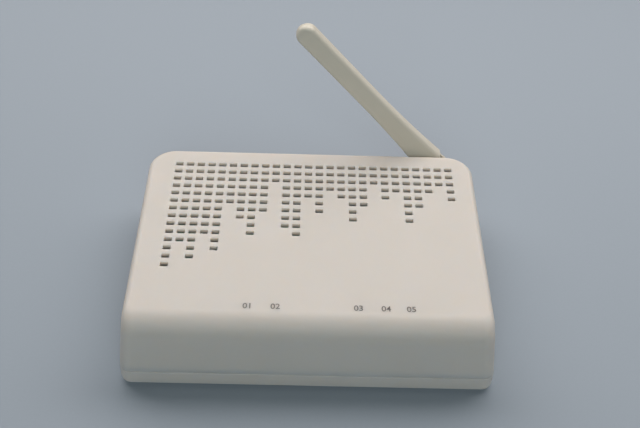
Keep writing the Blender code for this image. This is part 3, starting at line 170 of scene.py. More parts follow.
class Workpiece:
    """One mesh object on the bench, shaped with Blender's own operators."""

    def __init__(self, name: str) -> None:
        """Takes over the object that an operator has just added and puts its place into its mesh.

        Args:
            name: Name of the piece.
        """
        self.item: bpy.types.Object = bpy.context.object
        self.item.name = name
        self.item.data.name = name
        bpy.ops.object.transform_apply(location=True, rotation=True, scale=True)

    @classmethod
    def block(cls, name: str, low: Point, high: Point) -> "Workpiece":
        """Starts from a cube.

        Args:
            name: Name of the piece.
            low: Lowest corner.
            high: Highest corner.

        Returns:
            The block between the two corners.
        """
        clear_selection()
        bpy.ops.mesh.primitive_cube_add(size=1, location=(Vector(low) + Vector(high)) / 2)
        bpy.context.object.scale = Vector(high) - Vector(low)
        return cls(name)

    @classmethod
    def centred(cls, name: str, x: float, width: float, low: Point, high: Point) -> "Workpiece":
        """Starts from a cube, as wide to the left of its middle as to the right.

        Args:
            name: Name of the piece.
            x: Its middle.
            width: Its width.
            low: Lowest Y and Z.
            high: Highest Y and Z.

        Returns:
            The block.
        """
        return cls.block(name, (x - width / 2, *low), (x + width / 2, *high))

    @classmethod
    def drum(cls, name: str, radius: float, start: Point, end: Point,
             sides: int = ROUND_SIDES) -> "Workpiece":
        """Starts from a cylinder.

        Args:
            name: Name of the piece.
            radius: Radius of the cylinder.
            start: Middle of one end.
            end: Middle of the other end.
            sides: Number of sides.

        Returns:
            The cylinder between the two points.
        """
        clear_selection()
        way = Vector(end) - Vector(start)
        bpy.ops.mesh.primitive_cylinder_add(
            vertices=sides, radius=radius, depth=way.length, location=(Vector(start) + Vector(end)) / 2,
            rotation=way.to_track_quat("Z", "Y").to_euler(),
        )
        return cls(name)

    @classmethod
    def pillars(cls, name: str, radius: float, places: Iterable[Point], low: float, high: float,
                sides: int = ROUND_SIDES) -> list["Workpiece"]:
        """Stands a cylinder on each of several places.

        Args:
            name: Name of the pieces.
            radius: Radius of each.
            places: X and Y of each.
            low: Height of their feet.
            high: Height of their heads.
            sides: Number of sides.

        Returns:
            The cylinders.
        """
        return [cls.drum(name, radius, (*place, low), (*place, high), sides) for place in places]

    @classmethod
    def turned(cls, name: str, profile: Steps, sides: int = ROUND_SIDES) -> "Workpiece":
        """Starts from a disc and draws it up about the Z axis.

        Args:
            name: Name of the piece.
            profile: Radius and height of each step, from one end to the other.
            sides: Number of sides.

        Returns:
            The turned piece, standing on the origin's axis.
        """
        clear_selection()
        (radius, height), *steps = profile
        bpy.ops.mesh.primitive_circle_add(
            vertices=sides, radius=radius, fill_type="NGON", location=(0, 0, height),
        )
        piece = cls(name)
        with piece.editing():
            bpy.ops.mesh.select_mode(type=Element.FACE.value)
            bpy.ops.mesh.select_all(action="SELECT")
            for wider, higher in steps:
                bpy.ops.mesh.extrude_region_move(TRANSFORM_OT_translate={"value": (0, 0, higher - height)})
                share = wider / radius
                bpy.ops.transform.resize(value=(share, share, 1), center_override=(0, 0, higher))
                radius, height = wider, higher
            piece.close()
        return piece

    @classmethod
    def stack(cls, name: str, outlines: Sequence[Outline], front_steps: int,
              rear_steps: int) -> "Workpiece":
        """Bridges a stack of rounded outlines into one closed piece.

        Args:
            name: Name of the piece.
            outlines: Outlines in order along the surface.
            front_steps: Steps round each front corner.
            rear_steps: Steps round each rear corner.

        Returns:
            The piece, capped over its first and its last outline.
        """
        clear_selection()
        bpy.ops.mesh.primitive_plane_add(size=1)
        piece = cls(name)
        with piece.editing():
            bpy.ops.mesh.select_all(action="SELECT")
            bpy.ops.mesh.delete(type="VERT")
            for number, outline in enumerate(outlines):
                piece.add_outline(outline, front_steps, rear_steps)
                if number:
                    piece.choose(Element.FACE, lambda face: any(corner.select for corner in face.verts))
                    bpy.ops.mesh.delete(type="ONLY_FACE")
                    piece.choose(Element.EDGE, lambda edge: len(edge.link_faces) < 2)
                    bpy.ops.mesh.bridge_edge_loops()
            piece.close()
        return piece

    def add_outline(self, outline: Outline, front_steps: int, rear_steps: int) -> None:
        """Adds a rounded rectangle, in edit mode, and leaves corners of it selected.

        Args:
            outline: The rectangle.
            front_steps: Steps round each front corner.
            rear_steps: Steps round each rear corner.
        """
        middle = outline.middle()
        bpy.ops.mesh.select_mode(type=Element.CORNER.value)
        bpy.ops.mesh.primitive_plane_add(size=1, location=middle)
        bpy.ops.transform.resize(
            value=(outline.right - outline.left, outline.rear - outline.front, 1), center_override=middle,
        )
        self.choose(Element.CORNER, lambda corner: corner.select and corner.co.y < middle.y)
        bpy.ops.mesh.bevel(offset=outline.front_radius, segments=front_steps, affect="VERTICES")
        self.choose(Element.CORNER, lambda corner: not corner.select and any(
            edge.other_vert(corner).select for edge in corner.link_edges
        ))
        bpy.ops.mesh.bevel(offset=outline.rear_radius, segments=rear_steps, affect="VERTICES")

    def activate(self) -> None:
        """Makes this the only selected object and the active one."""
        clear_selection()
        self.item.select_set(True)
        bpy.context.view_layer.objects.active = self.item

    @contextmanager
    def editing(self) -> Iterator[None]:
        """Edit mode, for the length of a with block."""
        self.activate()
        bpy.ops.object.mode_set(mode="EDIT")
        yield
        bpy.ops.object.mode_set(mode="OBJECT")

    def choose(self, element: Element, test: Callable[[Any], bool]) -> None:
        """Selects what passes a test, in edit mode.

        Args:
            element: Corners, edges or faces.
            test: True for what is wanted.
        """
        shape = bmesh.from_edit_mesh(self.item.data)
        parts = {Element.CORNER: shape.verts, Element.EDGE: shape.edges, Element.FACE: shape.faces}[element]
        wanted = [part for part in parts if test(part)]
        bpy.ops.mesh.select_mode(type=element.value)
        bpy.ops.mesh.select_all(action="DESELECT")
        for part in wanted:
            part.select_set(True)
        bmesh.update_edit_mesh(self.item.data)

    def close(self) -> None:
        """Caps what is open and turns all faces outwards, in edit mode."""
        bpy.ops.mesh.select_mode(type=Element.EDGE.value)
        bpy.ops.mesh.select_all(action="DESELECT")
        bpy.ops.mesh.select_non_manifold()
        bpy.ops.mesh.fill_holes(sides=0)
        bpy.ops.mesh.select_all(action="SELECT")
        bpy.ops.mesh.normals_make_consistent(inside=False)

    def round_edges(self, test: EdgeTest, radius: float, steps: int) -> "Workpiece":
        """Rounds the edges that pass a test.

        Args:
            test: True for an edge that is rounded.
            radius: Radius of the rounding.
            steps: Steps across it.

        Returns:
            The piece itself.
        """
        with self.editing():
            self.choose(Element.EDGE, test)
            bpy.ops.mesh.bevel(offset=radius, segments=steps, affect="EDGES", clamp_overlap=False)
        return self

    def scale_faces(self, test: FaceTest, share: Point, middle: Point) -> "Workpiece":
        """Scales the faces that pass a test about a point.

        Args:
            test: True for a face that is scaled.
            share: New size along each axis, as a share of the old.
            middle: The point that stays.

        Returns:
            The piece itself.
        """
        with self.editing():
            self.choose(Element.FACE, test)
            bpy.ops.transform.resize(value=tuple(share), center_override=tuple(middle))
        return self

    def draw_out(self, test: FaceTest, move: Point, share: Point = UNSCALED,
                 middle: Point = (0, 0, 0)) -> "Workpiece":
        """Extrudes the faces that pass a test, then scales their far end.

        Args:
            test: True for a face that is extruded.
            move: How far the far end goes.
            share: Size of the far end along each axis, as a share of the near end.
            middle: The point that the scaling keeps.

        Returns:
            The piece itself.
        """
        with self.editing():
            self.choose(Element.FACE, test)
            bpy.ops.mesh.extrude_region_move(TRANSFORM_OT_translate={"value": tuple(move)})
            bpy.ops.transform.resize(value=tuple(share), center_override=tuple(middle))
        return self

    def inset(self, test: FaceTest, thickness: float, depth: float = 0.0) -> "Workpiece":
        """Insets the faces that pass a test.

        Args:
            test: True for a face that gets a border.
            thickness: Width of the border.
            depth: How far the face inside it is raised.

        Returns:
            The piece itself.
        """
        with self.editing():
            self.choose(Element.FACE, test)
            bpy.ops.mesh.inset(thickness=thickness, depth=depth)
        return self

    def modify(self, kind: str, **settings: Any) -> "Workpiece":
        """Adds a modifier and applies it.

        Args:
            kind: Blender's name for the modifier.
            **settings: The modifier's own settings.

        Returns:
            The piece itself.
        """
        self.activate()
        modifier = self.item.modifiers.new(kind.lower(), kind)
        for name, value in settings.items():
            setattr(modifier, name, value)
        bpy.ops.object.modifier_apply(modifier=modifier.name)
        return self

    def combine(self, how: Join, *tools: "Workpiece") -> "Workpiece":
        """Adds tools to the piece or cuts them away. The tools are used up.

        Args:
            how: Whether the tools are added or cut.
            *tools: Pieces that stay clear of each other.

        Returns:
            The piece itself.
        """
        tool = tools[0].gather(*tools[1:])
        self.modify("BOOLEAN", operation=how.value, solver="EXACT", object=tool.item)
        tool.discard()
        return self

    def discard(self) -> None:
        """Throws the piece away, mesh and all."""
        mesh = self.item.data
        bpy.data.objects.remove(self.item)
        bpy.data.meshes.remove(mesh)

    def repeated(self, count: int, step: Point) -> "Workpiece":
        """Repeats the piece in a row, in one mesh.

        Args:
            count: How often it then stands there.
            step: Way from each to the next.

        Returns:
            The piece itself.
        """
        return self.modify(
            "ARRAY", count=count, use_relative_offset=False, use_constant_offset=True,
            constant_offset_displace=tuple(step),
        )

    def gather(self, *others: "Workpiece") -> "Workpiece":
        """Takes the others into this mesh.

        Args:
            *others: Pieces that become part of this one.

        Returns:
            The piece itself.
        """
        self.activate()
        for other in others:
            other.item.select_set(True)
        if others:
            bpy.ops.object.join()
        return self

    def soften(self, width: float, steps: int = 2) -> "Workpiece":
        """Breaks all sharp edges.

        Args:
            width: Width of the broken edge.
            steps: Steps across it.

        Returns:
            The piece itself.
        """
        return self.modify(
            "BEVEL", width=width, segments=steps, limit_method="ANGLE", angle_limit=SHARP_ANGLE,
        )

    def copied(self, name: str, move: Point = (0, 0, 0)) -> "Workpiece":
        """Copies the piece, mesh and all.

        Args:
            name: Name of the copy.
            move: How far the copy is moved.

        Returns:
            The copy.
        """
        self.activate()
        bpy.ops.object.duplicate(linked=False)
        bpy.context.object.location = move
        return Workpiece(name)

    def moved(self, place: Matrix) -> "Workpiece":
        """Moves the piece.

        Args:
            place: Where the origin of the piece goes, and how it is turned.

        Returns:
            The piece itself.
        """
        self.activate()
        self.item.matrix_world = place
        bpy.ops.object.transform_apply(location=True, rotation=True, scale=True)
        return self

    def settle(self, body: Body, slot: Slot, material: bpy.types.Material, *stands_for: str) -> None:
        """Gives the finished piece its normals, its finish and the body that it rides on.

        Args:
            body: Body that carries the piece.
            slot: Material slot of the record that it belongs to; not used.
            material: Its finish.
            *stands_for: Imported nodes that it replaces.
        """
        self.activate()
        mesh = self.item.data
        mesh.materials.clear()
        mesh.materials.append(material)
        for polygon in mesh.polygons:
            polygon.material_index = 0
        bpy.ops.object.shade_smooth_by_angle(angle=SMOOTH_ANGLE)
        self.modify("WEIGHTED_NORMAL", keep_sharp=True)
        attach(self.item, body.value)
        if stands_for:
            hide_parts(*stands_for)
        LOG.info("%s rides on %s, %d faces", self.item.name, body.value, len(mesh.polygons))


def upward(face: bmesh.types.BMFace) -> bool:
    """True for a face that points up."""
    return face.normal.z > FACING


def rearward(face: bmesh.types.BMFace) -> bool:
    """True for a face that points to the rear."""
    return face.normal.y > FACING


def forward(face: bmesh.types.BMFace) -> bool:
    """True for a face that points to the front, or nearly so."""
    return face.normal.y < -LEANING


def along(axis: Axis) -> EdgeTest:
    """Makes a test for edges that run along an axis.

    Args:
        axis: The axis.

    Returns:
        The test.
    """

    def runs_along(edge: bmesh.types.BMEdge) -> bool:
        """True for an edge that runs along the axis."""
        way = (edge.verts[1].co - edge.verts[0].co).normalized()
        return abs(way[axis.value]) > PARALLEL

    return runs_along


# Shading


@dataclass(frozen=True)
class Wire:
    """An output of a node, which Python expressions can reckon with."""

    graph: "Graph"
    socket: bpy.types.NodeSocket

    def __add__(self, other: "Wire | float") -> "Wire":
        """Sum."""
        return self.graph.maths("ADD", self, other)

    def __radd__(self, other: float) -> "Wire":
        """Sum, number first."""
        return self.graph.maths("ADD", other, self)

    def __sub__(self, other: "Wire | float") -> "Wire":
        """Difference."""
        return self.graph.maths("SUBTRACT", self, other)

    def __rsub__(self, other: float) -> "Wire":
        """Difference, number first."""
        return self.graph.maths("SUBTRACT", other, self)

    def __mul__(self, other: "Wire | float") -> "Wire":
        """Product."""
        return self.graph.maths("MULTIPLY", self, other)

    def __rmul__(self, other: float) -> "Wire":
        """Product, number first."""
        return self.graph.maths("MULTIPLY", other, self)

    def __gt__(self, other: "Wire | float") -> "Wire":
        """1 where this is greater, and 0 elsewhere."""
        return self.graph.maths("GREATER_THAN", self, other)


class Graph:
    """The nodes of one material."""

    def __init__(self, name: str) -> None:
        """Starts a material.

        Args:
            name: Name of the material.
        """
        self.material = bpy.data.materials.new(name)
        self.material.use_nodes = True
        self.tree = self.material.node_tree
        self.shader = self.tree.nodes["Principled BSDF"]
        self.place = self.output(self.node("ShaderNodeTexCoord"), "Object")

    def node(self, kind: str, settings: Mapping[str, Any] | None = None,
             inputs: Mapping[str | int, Any] | None = None) -> bpy.types.Node:
        """Adds a node.

        Args:
            kind: Blender's name for the node's type.
            settings: Its own settings, and "stops" for a ramp.
            inputs: Values or wires of its sockets.

        Returns:
            The node.
        """
        made = self.tree.nodes.new(kind)
        for name, value in (settings or {}).items():
            if name == "stops":
                for element, (position, shade) in zip(made.color_ramp.elements, value):
                    element.position = position
                    element.color = (shade, shade, shade, 1)
            else:
                setattr(made, name, value)
        for name, value in (inputs or {}).items():
            self.feed(made.inputs[name], value)
        return made

    def output(self, node: bpy.types.Node, name: str | int = 0) -> Wire:
        """One output of a node."""
        return Wire(self, node.outputs[name])

    def feed(self, socket: bpy.types.NodeSocket, value: Any) -> None:
        """Links a wire to a socket, or sets a plain value on it.

        Args:
            socket: The socket.
            value: A wire, a number, a colour or a vector.
        """
        if isinstance(value, Wire):
            self.tree.links.new(value.socket, socket)
        elif isinstance(value, tuple) and len(value) == 3 and len(socket.default_value) == 4:
            socket.default_value = (*value, 1)
        else:
            socket.default_value = value

    def set(self, name: str, value: Any) -> None:
        """Feeds a socket of the surface's shader."""
        self.feed(self.shader.inputs[name], value)

    def maths(self, operation: str, first: Wire | float, second: Wire | float) -> Wire:
        """A value worked out from two others."""
        return self.output(self.node("ShaderNodeMath", {"operation": operation}, {0: first, 1: second}))

    def stretched(self, scale: Point, turn: Point = (0, 0, 0)) -> Wire:
        """The place on the piece, stretched and turned, for patterns with a direction."""
        sockets = {"Vector": self.place, "Scale": tuple(scale), "Rotation": tuple(turn)}
        return self.output(self.node("ShaderNodeMapping", {}, sockets))

    def noise(self, feature: float, detail: float = 2.0, place: Wire | None = None) -> Wire:
        """Soft noise.

        Args:
            feature: Size of its spots.
            detail: How many finer layers lie over it.
            place: Where it is read, if not at the place on the piece.

        Returns:
            A value about 0.5.
        """
        sockets = {"Vector": place or self.place, "Scale": 1 / feature, "Detail": detail}
        return self.output(self.node("ShaderNodeTexNoise", {}, sockets))

    def cells(self, feature: float) -> Wire:
        """Distance to the nearest of many scattered points, in shares of their spacing."""
        sockets = {"Vector": self.place, "Scale": 1 / feature}
        return self.output(self.node("ShaderNodeTexVoronoi", {}, sockets))

    def lines(self, feature: float, place: Wire | None = None) -> Wire:
        """Parallel bands across X, from 0 to 1."""
        sockets = {"Vector": place or self.place, "Scale": 1 / feature / math.tau, "Distortion": 0.0}
        return self.output(self.node("ShaderNodeTexWave", {"wave_type": "BANDS"}, sockets))

    def ramp(self, value: Wire, low: float, high: float) -> Wire:
        """A value spread from 0 at low to 1 at high."""
        stops = ((low, 0), (high, 1))
        return self.output(self.node("ShaderNodeValToRGB", {"stops": stops}, {"Fac": value}))

    def blend(self, share: Wire | float, first: Colour | Wire, second: Colour | Wire) -> Wire:
        """A colour between two others."""
        sockets = {0: share, 6: first, 7: second}
        return self.output(self.node("ShaderNodeMix", {"data_type": "RGBA"}, sockets), 2)

    def bump(self, height: Wire, depth: float, strength: float = 1.0) -> None:
        """Gives the surface a relief.

        Args:
            height: The relief, from 0 to 1.
            depth: How deep it is.
            strength: How much of it shows.
        """
        sockets = {"Height": height, "Distance": depth, "Strength": strength}
        relief = self.node("ShaderNodeBump", {}, sockets)
        self.set("Normal", self.output(relief))


def shaded(colour: Colour, share: float) -> Colour:
    """A colour made lighter or darker by a share."""
    return tuple(min(part * share, 1.0) for part in colour)


@dataclass(frozen=True)
class Finish:
    """What every finish has: a name and a colour."""

    name: str
    colour: Colour

    def material(self) -> bpy.types.Material:
        """Builds the material.

        Returns:
            The material.
        """
        graph = Graph(self.name)
        self.paint(graph)
        return graph.material

    def paint(self, graph: Graph) -> None:
        """Adds the finish's own nodes, in each kind of finish."""
        raise NotImplementedError


@dataclass(frozen=True)
class MouldedPlastic(Finish):
    """Plastic with the fine pits of a spark-eroded mould and the faint flow marks of moulding."""

    roughness: float = 0.5
    pit: float = 0.22 * MM
    pit_depth: float = 0.008 * MM
    pit_strength: float = 0.6
    pit_roughness: float = 0.12
    flow: float = 24.0 * MM
    flow_shade: float = 0.025
    flow_share: float = 0.75
    flow_roughness: float = 0.06
    detail: float = 3.0
    tint: Colour = (1.0, 0.985, 0.955)
    gloss: float = 0.4
    depth_of_light: float = 0.0
    spread_of_light: Colour = (1.0, 0.85, 0.7)

    def paint(self, graph: Graph) -> None:
        """Adds pits, flow marks and, in a pale moulding, the light that enters it.

        Args:
            graph: Nodes of the material.
        """
        pits = graph.noise(self.pit, self.detail)
        flow = graph.noise(self.flow, self.detail)
        light = shaded(self.colour, 1 + self.flow_shade)
        dark = tuple(part * tint * (1 - self.flow_shade) for part, tint in zip(self.colour, self.tint))
        clouds = flow * self.flow_share + pits * (1 - self.flow_share)
        smoothest = self.roughness - (self.pit_roughness + self.flow_roughness) / 2
        graph.set("Base Color", graph.blend(clouds, dark, light))
        graph.set("Roughness", smoothest + pits * self.pit_roughness + flow * self.flow_roughness)
        graph.set("Specular IOR Level", self.gloss)
        if self.depth_of_light > 0:
            graph.set("Subsurface Weight", 1.0)
            graph.set("Subsurface Radius", self.spread_of_light)
            graph.set("Subsurface Scale", self.depth_of_light)
        graph.bump(pits, self.pit_depth, self.pit_strength)


@dataclass(frozen=True)
class FootRubber(Finish):
    """Matt rubber with a dusty bloom."""

    roughness: float = 0.78
    bloom: Colour = (0.16, 0.155, 0.15)
    bloom_share: float = 0.5
    patch: float = 3.0 * MM
    patch_range: tuple[float, float] = (0.45, 0.8)
    grain: float = 0.35 * MM
    grain_depth: float = 0.03 * MM
    grain_strength: float = 0.5
    grain_roughness: float = 0.18
    detail: float = 4.0

    def paint(self, graph: Graph) -> None:
        """Adds grain and bloom.

        Args:
            graph: Nodes of the material.
        """
        grain = graph.noise(self.grain, self.detail)
        dust = graph.ramp(graph.noise(self.patch, self.detail), *self.patch_range)
        graph.set("Base Color", graph.blend(dust * self.bloom_share, self.colour, self.bloom))
        graph.set("Roughness", self.roughness + grain * self.grain_roughness)
        graph.bump(grain, self.grain_depth, self.grain_strength)


@dataclass(frozen=True)
class WorkedMetal(Finish):
    """Metal with drawn streaks and cloudy tarnish."""

    tarnish: Colour
    smoothest: float
    tarnish_share: float = 0.45
    cloud: float = 4.0 * MM
    cloud_range: tuple[float, float] = (0.4, 0.75)
    cloud_detail: float = 4.0
    cloud_roughness: float = 0.08
    streak: float = 1.6 * MM
    streak_stretch: tuple[float, float, float] = (1.0, 14.0, 14.0)
    streak_detail: float = 3.0
    streak_depth: float = 0.004 * MM
    streak_strength: float = 0.5
    streak_roughness: float = 0.14

    def paint(self, graph: Graph) -> None:
        """Adds streaks and tarnish.

        Args:
            graph: Nodes of the material.
        """
        streaks = graph.noise(self.streak, self.streak_detail, graph.stretched(self.streak_stretch))
        clouds = graph.ramp(graph.noise(self.cloud, self.cloud_detail), *self.cloud_range)
        graph.set("Base Color", graph.blend(clouds * self.tarnish_share, self.colour, self.tarnish))
        graph.set("Metallic", 1.0)
        graph.set(
            "Roughness", self.smoothest + streaks * self.streak_roughness + clouds * self.cloud_roughness,
        )
        graph.bump(streaks, self.streak_depth, self.streak_strength)


@dataclass(frozen=True)
class SolderMask(Finish):
    """Printed board: copper tracks and plated holes that show through a green mask."""

    roughness: float = 0.32
    track: Colour = (0.07, 0.27, 0.12)
    track_gap: float = 0.62
    track_roughness: float = 0.1
    pad: Colour = (0.72, 0.66, 0.5)
    pitch: float = 1.3 * MM
    region: float = 9.0 * MM
    region_share: float = 0.5
    hole_spacing: float = 4.2 * MM
    hole_radius: float = 0.1
    hole_height: float = 0.5
    grain: float = 0.3 * MM
    grain_roughness: float = 0.1
    relief_depth: float = 0.03 * MM
    relief_strength: float = 0.7

    def paint(self, graph: Graph) -> None:
        """Adds tracks, across in some regions and down in the others, and holes.

        Args:
            graph: Nodes of the material.
        """
        across = graph.lines(self.pitch) > self.track_gap
        down = graph.lines(self.pitch, graph.stretched(UNSCALED, (0, 0, QUARTER_TURN))) > self.track_gap
        regions = graph.noise(self.region, 0.0) > self.region_share
        tracks = across * regions + down * (1 - regions)
        holes = 1 - (graph.cells(self.hole_spacing) > self.hole_radius)
        grain = graph.noise(self.grain)
        mask = graph.blend(tracks, self.colour, self.track)
        graph.set("Base Color", graph.blend(holes, mask, self.pad))
        graph.set("Roughness", self.roughness + tracks * self.track_roughness + grain * self.grain_roughness)
        graph.set("Metallic", holes)
        graph.bump(tracks + holes * self.hole_height, self.relief_depth, self.relief_strength)


@dataclass(frozen=True)
class WoundCore(Finish):
    """Dark core with turns of tape over its winding."""

    roughness: float = 0.5
    tape: Colour = (0.22, 0.17, 0.05)
    tape_share: float = 0.6
    patch: float = 5.0 * MM
    patch_range: tuple[float, float] = (0.5, 0.58)
    turn: float = 0.6 * MM
    turn_depth: float = 0.06 * MM
    turn_strength: float = 0.6
    turn_roughness: float = 0.2

    def paint(self, graph: Graph) -> None:
        """Adds turns and patches of tape.

        Args:
            graph: Nodes of the material.
        """
        turns = graph.lines(self.turn, graph.stretched(UNSCALED, (0, QUARTER_TURN, 0)))
        patches = graph.ramp(graph.noise(self.patch), *self.patch_range)
        graph.set("Base Color", graph.blend(patches * self.tape_share, self.colour, self.tape))
        graph.set("Roughness", self.roughness + turns * self.turn_roughness)
        graph.bump(turns, self.turn_depth, self.turn_strength)


@dataclass(frozen=True)
class ClearMoulding(Finish):
    """Clear plastic with faint haze."""

    clearness: float
    roughness: float = 0.06
    haze: float = 1.5 * MM
    haze_detail: float = 4.0
    haze_shade: float = 0.8
    haze_share: float = 0.4
    haze_depth: float = 0.01 * MM
    haze_strength: float = 0.3
    haze_roughness: float = 0.2

    def paint(self, graph: Graph) -> None:
        """Adds haze.

        Args:
            graph: Nodes of the material.
        """
        haze = graph.noise(self.haze, self.haze_detail)
        hazy = shaded(self.colour, self.haze_shade)
        graph.set("Base Color", graph.blend(haze * self.haze_share, self.colour, hazy))
        graph.set("Roughness", self.roughness + haze * self.haze_roughness)
        graph.set("Transmission Weight", self.clearness)
        graph.bump(haze, self.haze_depth, self.haze_strength)


@dataclass(frozen=True)
class PrintedInk(Finish):
    """Thin printed ink, a little patchy where the pits of the plastic show through."""

    ground: Colour
    ground_share: float = 0.35
    roughness: float = 0.55
    patch: float = 0.3 * MM
    patch_detail: float = 4.0
    patch_range: tuple[float, float] = (0.55, 0.8)
    patch_depth: float = 0.004 * MM
    patch_strength: float = 0.4
    patch_roughness: float = 0.15

    def paint(self, graph: Graph) -> None:
        """Adds patches through which the ground shows.

        Args:
            graph: Nodes of the material.
        """
        patches = graph.ramp(graph.noise(self.patch, self.patch_detail), *self.patch_range)
        graph.set("Base Color", graph.blend(patches * self.ground_share, self.colour, self.ground))
        graph.set("Roughness", self.roughness + patches * self.patch_roughness)
        graph.bump(patches, self.patch_depth, self.patch_strength)


COVER_COLOUR: Colour = (0.665, 0.62, 0.575)
UNTINTED: Colour = (1.0, 1.0, 1.0)


@dataclass
class Finishes:
    """Every finish of the modem, one for each slot of the record, and the ink of the legends."""

    made: dict[Slot, bpy.types.Material] = field(default_factory=dict)

    def __post_init__(self) -> None:
        """Makes the materials."""
        for slot, finish in {
            Slot.COVER: MouldedPlastic("cover_plastic", COVER_COLOUR, depth_of_light=5.0 * MM),
            # Antenna white: its own warmer tone, but made lighter than the cover's white as painted light,
            # standing in for the extra light that falls on the antenna's upright face.
            Slot.ANTENNA: MouldedPlastic("antenna_plastic", (0.70, 0.66, 0.565), 0.44, pit=0.3 * MM),
            Slot.BLACK: MouldedPlastic(
                "port_plastic", (0.028, 0.028, 0.03), 0.42, tint=UNTINTED, flow_shade=0.2,
            ),
            Slot.BUTTON: MouldedPlastic("button_plastic", (0.32, 0.32, 0.32), 0.46, tint=UNTINTED),
            Slot.CHIP: MouldedPlastic(
                "package_epoxy", (0.02, 0.02, 0.022), 0.55, pit=0.12 * MM, tint=UNTINTED, flow_shade=0.25,
            ),
            Slot.FOOT: FootRubber("foot_rubber_matt", (0.06, 0.06, 0.06)),
            Slot.STEEL: WorkedMetal("plated_steel_drawn", (0.62, 0.62, 0.64), (0.42, 0.40, 0.37), 0.28),
            Slot.GOLD: WorkedMetal("gold_wire", (0.83, 0.62, 0.25), (0.66, 0.45, 0.18), 0.18),
            Slot.ALUMINIUM: WorkedMetal("aluminium_drawn", (0.72, 0.72, 0.74), (0.56, 0.56, 0.57), 0.34),
            Slot.BOARD: SolderMask("solder_mask", (0.03, 0.16, 0.07)),
            Slot.FERRITE: WoundCore("wound_core", (0.09, 0.09, 0.1)),
            Slot.GUIDE: ClearMoulding("guide_clear", (0.82, 0.86, 0.88), 0.85),
            Slot.LAMP: ClearMoulding("lamp_resin", (0.85, 0.88, 0.72), 0.4),
        }.items():
            self.made[slot] = finish.material()
        self.ink = PrintedInk("legend_ink", (0.13, 0.115, 0.105), COVER_COLOUR).material()

    def of(self, slot: Slot) -> bpy.types.Material:
        """The material of a slot."""
        return self.made[slot]


# Sub-assemblies


def four_places(spread: float, front: float, rear: float) -> dict[str, tuple[float, float]]:
    """Lays out four like pieces in plan.

    Args:
        spread: How far left and right of the middle they stand.
        front: Y of the front two.
        rear: Y of the rear two.

    Returns:
        The place of each, under the words for where it is.
    """
    return {
        "front_left": (-spread, front), "front_right": (spread, front),
        "rear_left": (-spread, rear), "rear_right": (spread, rear),
    }


def rounded_end(radius: float, end: float, depth: float, shares: Steps) -> list[tuple[float, float]]:
    """Draws the rounded end of a turned piece.

    Args:
        radius: Radius of the piece.
        end: Height of its end.
        depth: Depth below the end that counts as 1.
        shares: Radius and depth of each step, in shares.

    Returns:
        Radius and height of each step.
    """
    return [(radius * wide, end - depth * deep) for wide, deep in shares]


@dataclass(frozen=True)
class HousingPlan:
    """Sizes that the sub-assemblies share."""

    half_width: float = 78.0 * MM
    front: float = -60.25 * MM
    rear: float = 50.75 * MM
    top: float = 36.9 * MM
    parting: float = 8.9 * MM
    underside: float = 1.3 * MM
    wall: float = 2.0 * MM
    seat: float = 0.3 * MM
    front_corner: float = 5.0 * MM
    rear_corner: float = 12.0 * MM
    side_draft: float = math.tan(math.radians(5.9))
    front_draft: float = math.tan(math.radians(3.8))
    tongue_height: float = 1.5 * MM
    tongue_inset: float = 1.2 * MM
    ledge_fall: float = 0.02 * MM
    rim_chamfer: float = 0.18 * MM
    boss_spread: float = 69.5 * MM
    boss_front: float = -45.25 * MM
    boss_rear: float = 30.75 * MM
    boss_seam: float = 11.4 * MM
    bore_radius: float = 1.6 * MM
    bore_sides: int = 24
    window_half_width: float = 68.2 * MM
    window_top: float = 32.9 * MM
    panel_outer: float = 47.55 * MM
    panel_inner: float = 45.55 * MM
    keeper_length: float = 100.0 * MM
    keeper_thickness: float = 1.5 * MM
    keeper_height: float = 3.2 * MM
    mounted: float = 10.1 * MM
    network_ports: tuple[float, float] = (16.9794 * MM, -1.0206 * MM)
    swivel_x: float = 61.1 * MM
    swivel_height: float = 24.9 * MM
    front_steps: int = 10
    rear_steps: int = 18

    def floor(self) -> float:
        """Height of the tray's floor, inside."""
        return self.underside + self.wall

    def middle(self) -> float:
        """Y of the housing's middle."""
        return (self.front + self.rear) / 2

    def bosses(self) -> dict[str, tuple[float, float]]:
        """Places in plan of the four cover screws."""
        return four_places(self.boss_spread, self.boss_front, self.boss_rear)

    def drawn_in(self, half_width: float, height: float) -> float:
        """Half width that the side's draft leaves at a height of what is wider at the parting line."""
        return half_width - (height - self.parting) * self.side_draft

    def keeper(self, low: float, high: float) -> Workpiece:
        """Makes a rib that keeps the rear panel in its place.

        Args:
            low: Height of its foot.
            high: Height of its head.

        Returns:
            The rib.
        """
        rear = self.panel_inner - self.seat
        front = rear - self.keeper_thickness
        return Workpiece.centred("keeper", 0, self.keeper_length, (front, low), (rear, high))


@dataclass
class SubAssembly:
    """Pieces that are built and dressed together."""

    plan: HousingPlan
    finishes: Finishes

    def build(self) -> None:
        """Builds the pieces and dresses them, in each kind of sub-assembly."""
        raise NotImplementedError

    def dress(self, piece: Workpiece, body: Body, slot: Slot, *stands_for: str) -> None:
        """Gives a finished piece the material of its slot.

        Args:
            piece: The piece.
            body: Body that carries it.
            slot: Its material slot.
            *stands_for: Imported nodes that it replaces.
        """
        piece.settle(body, slot, self.finishes.of(slot), *stands_for)


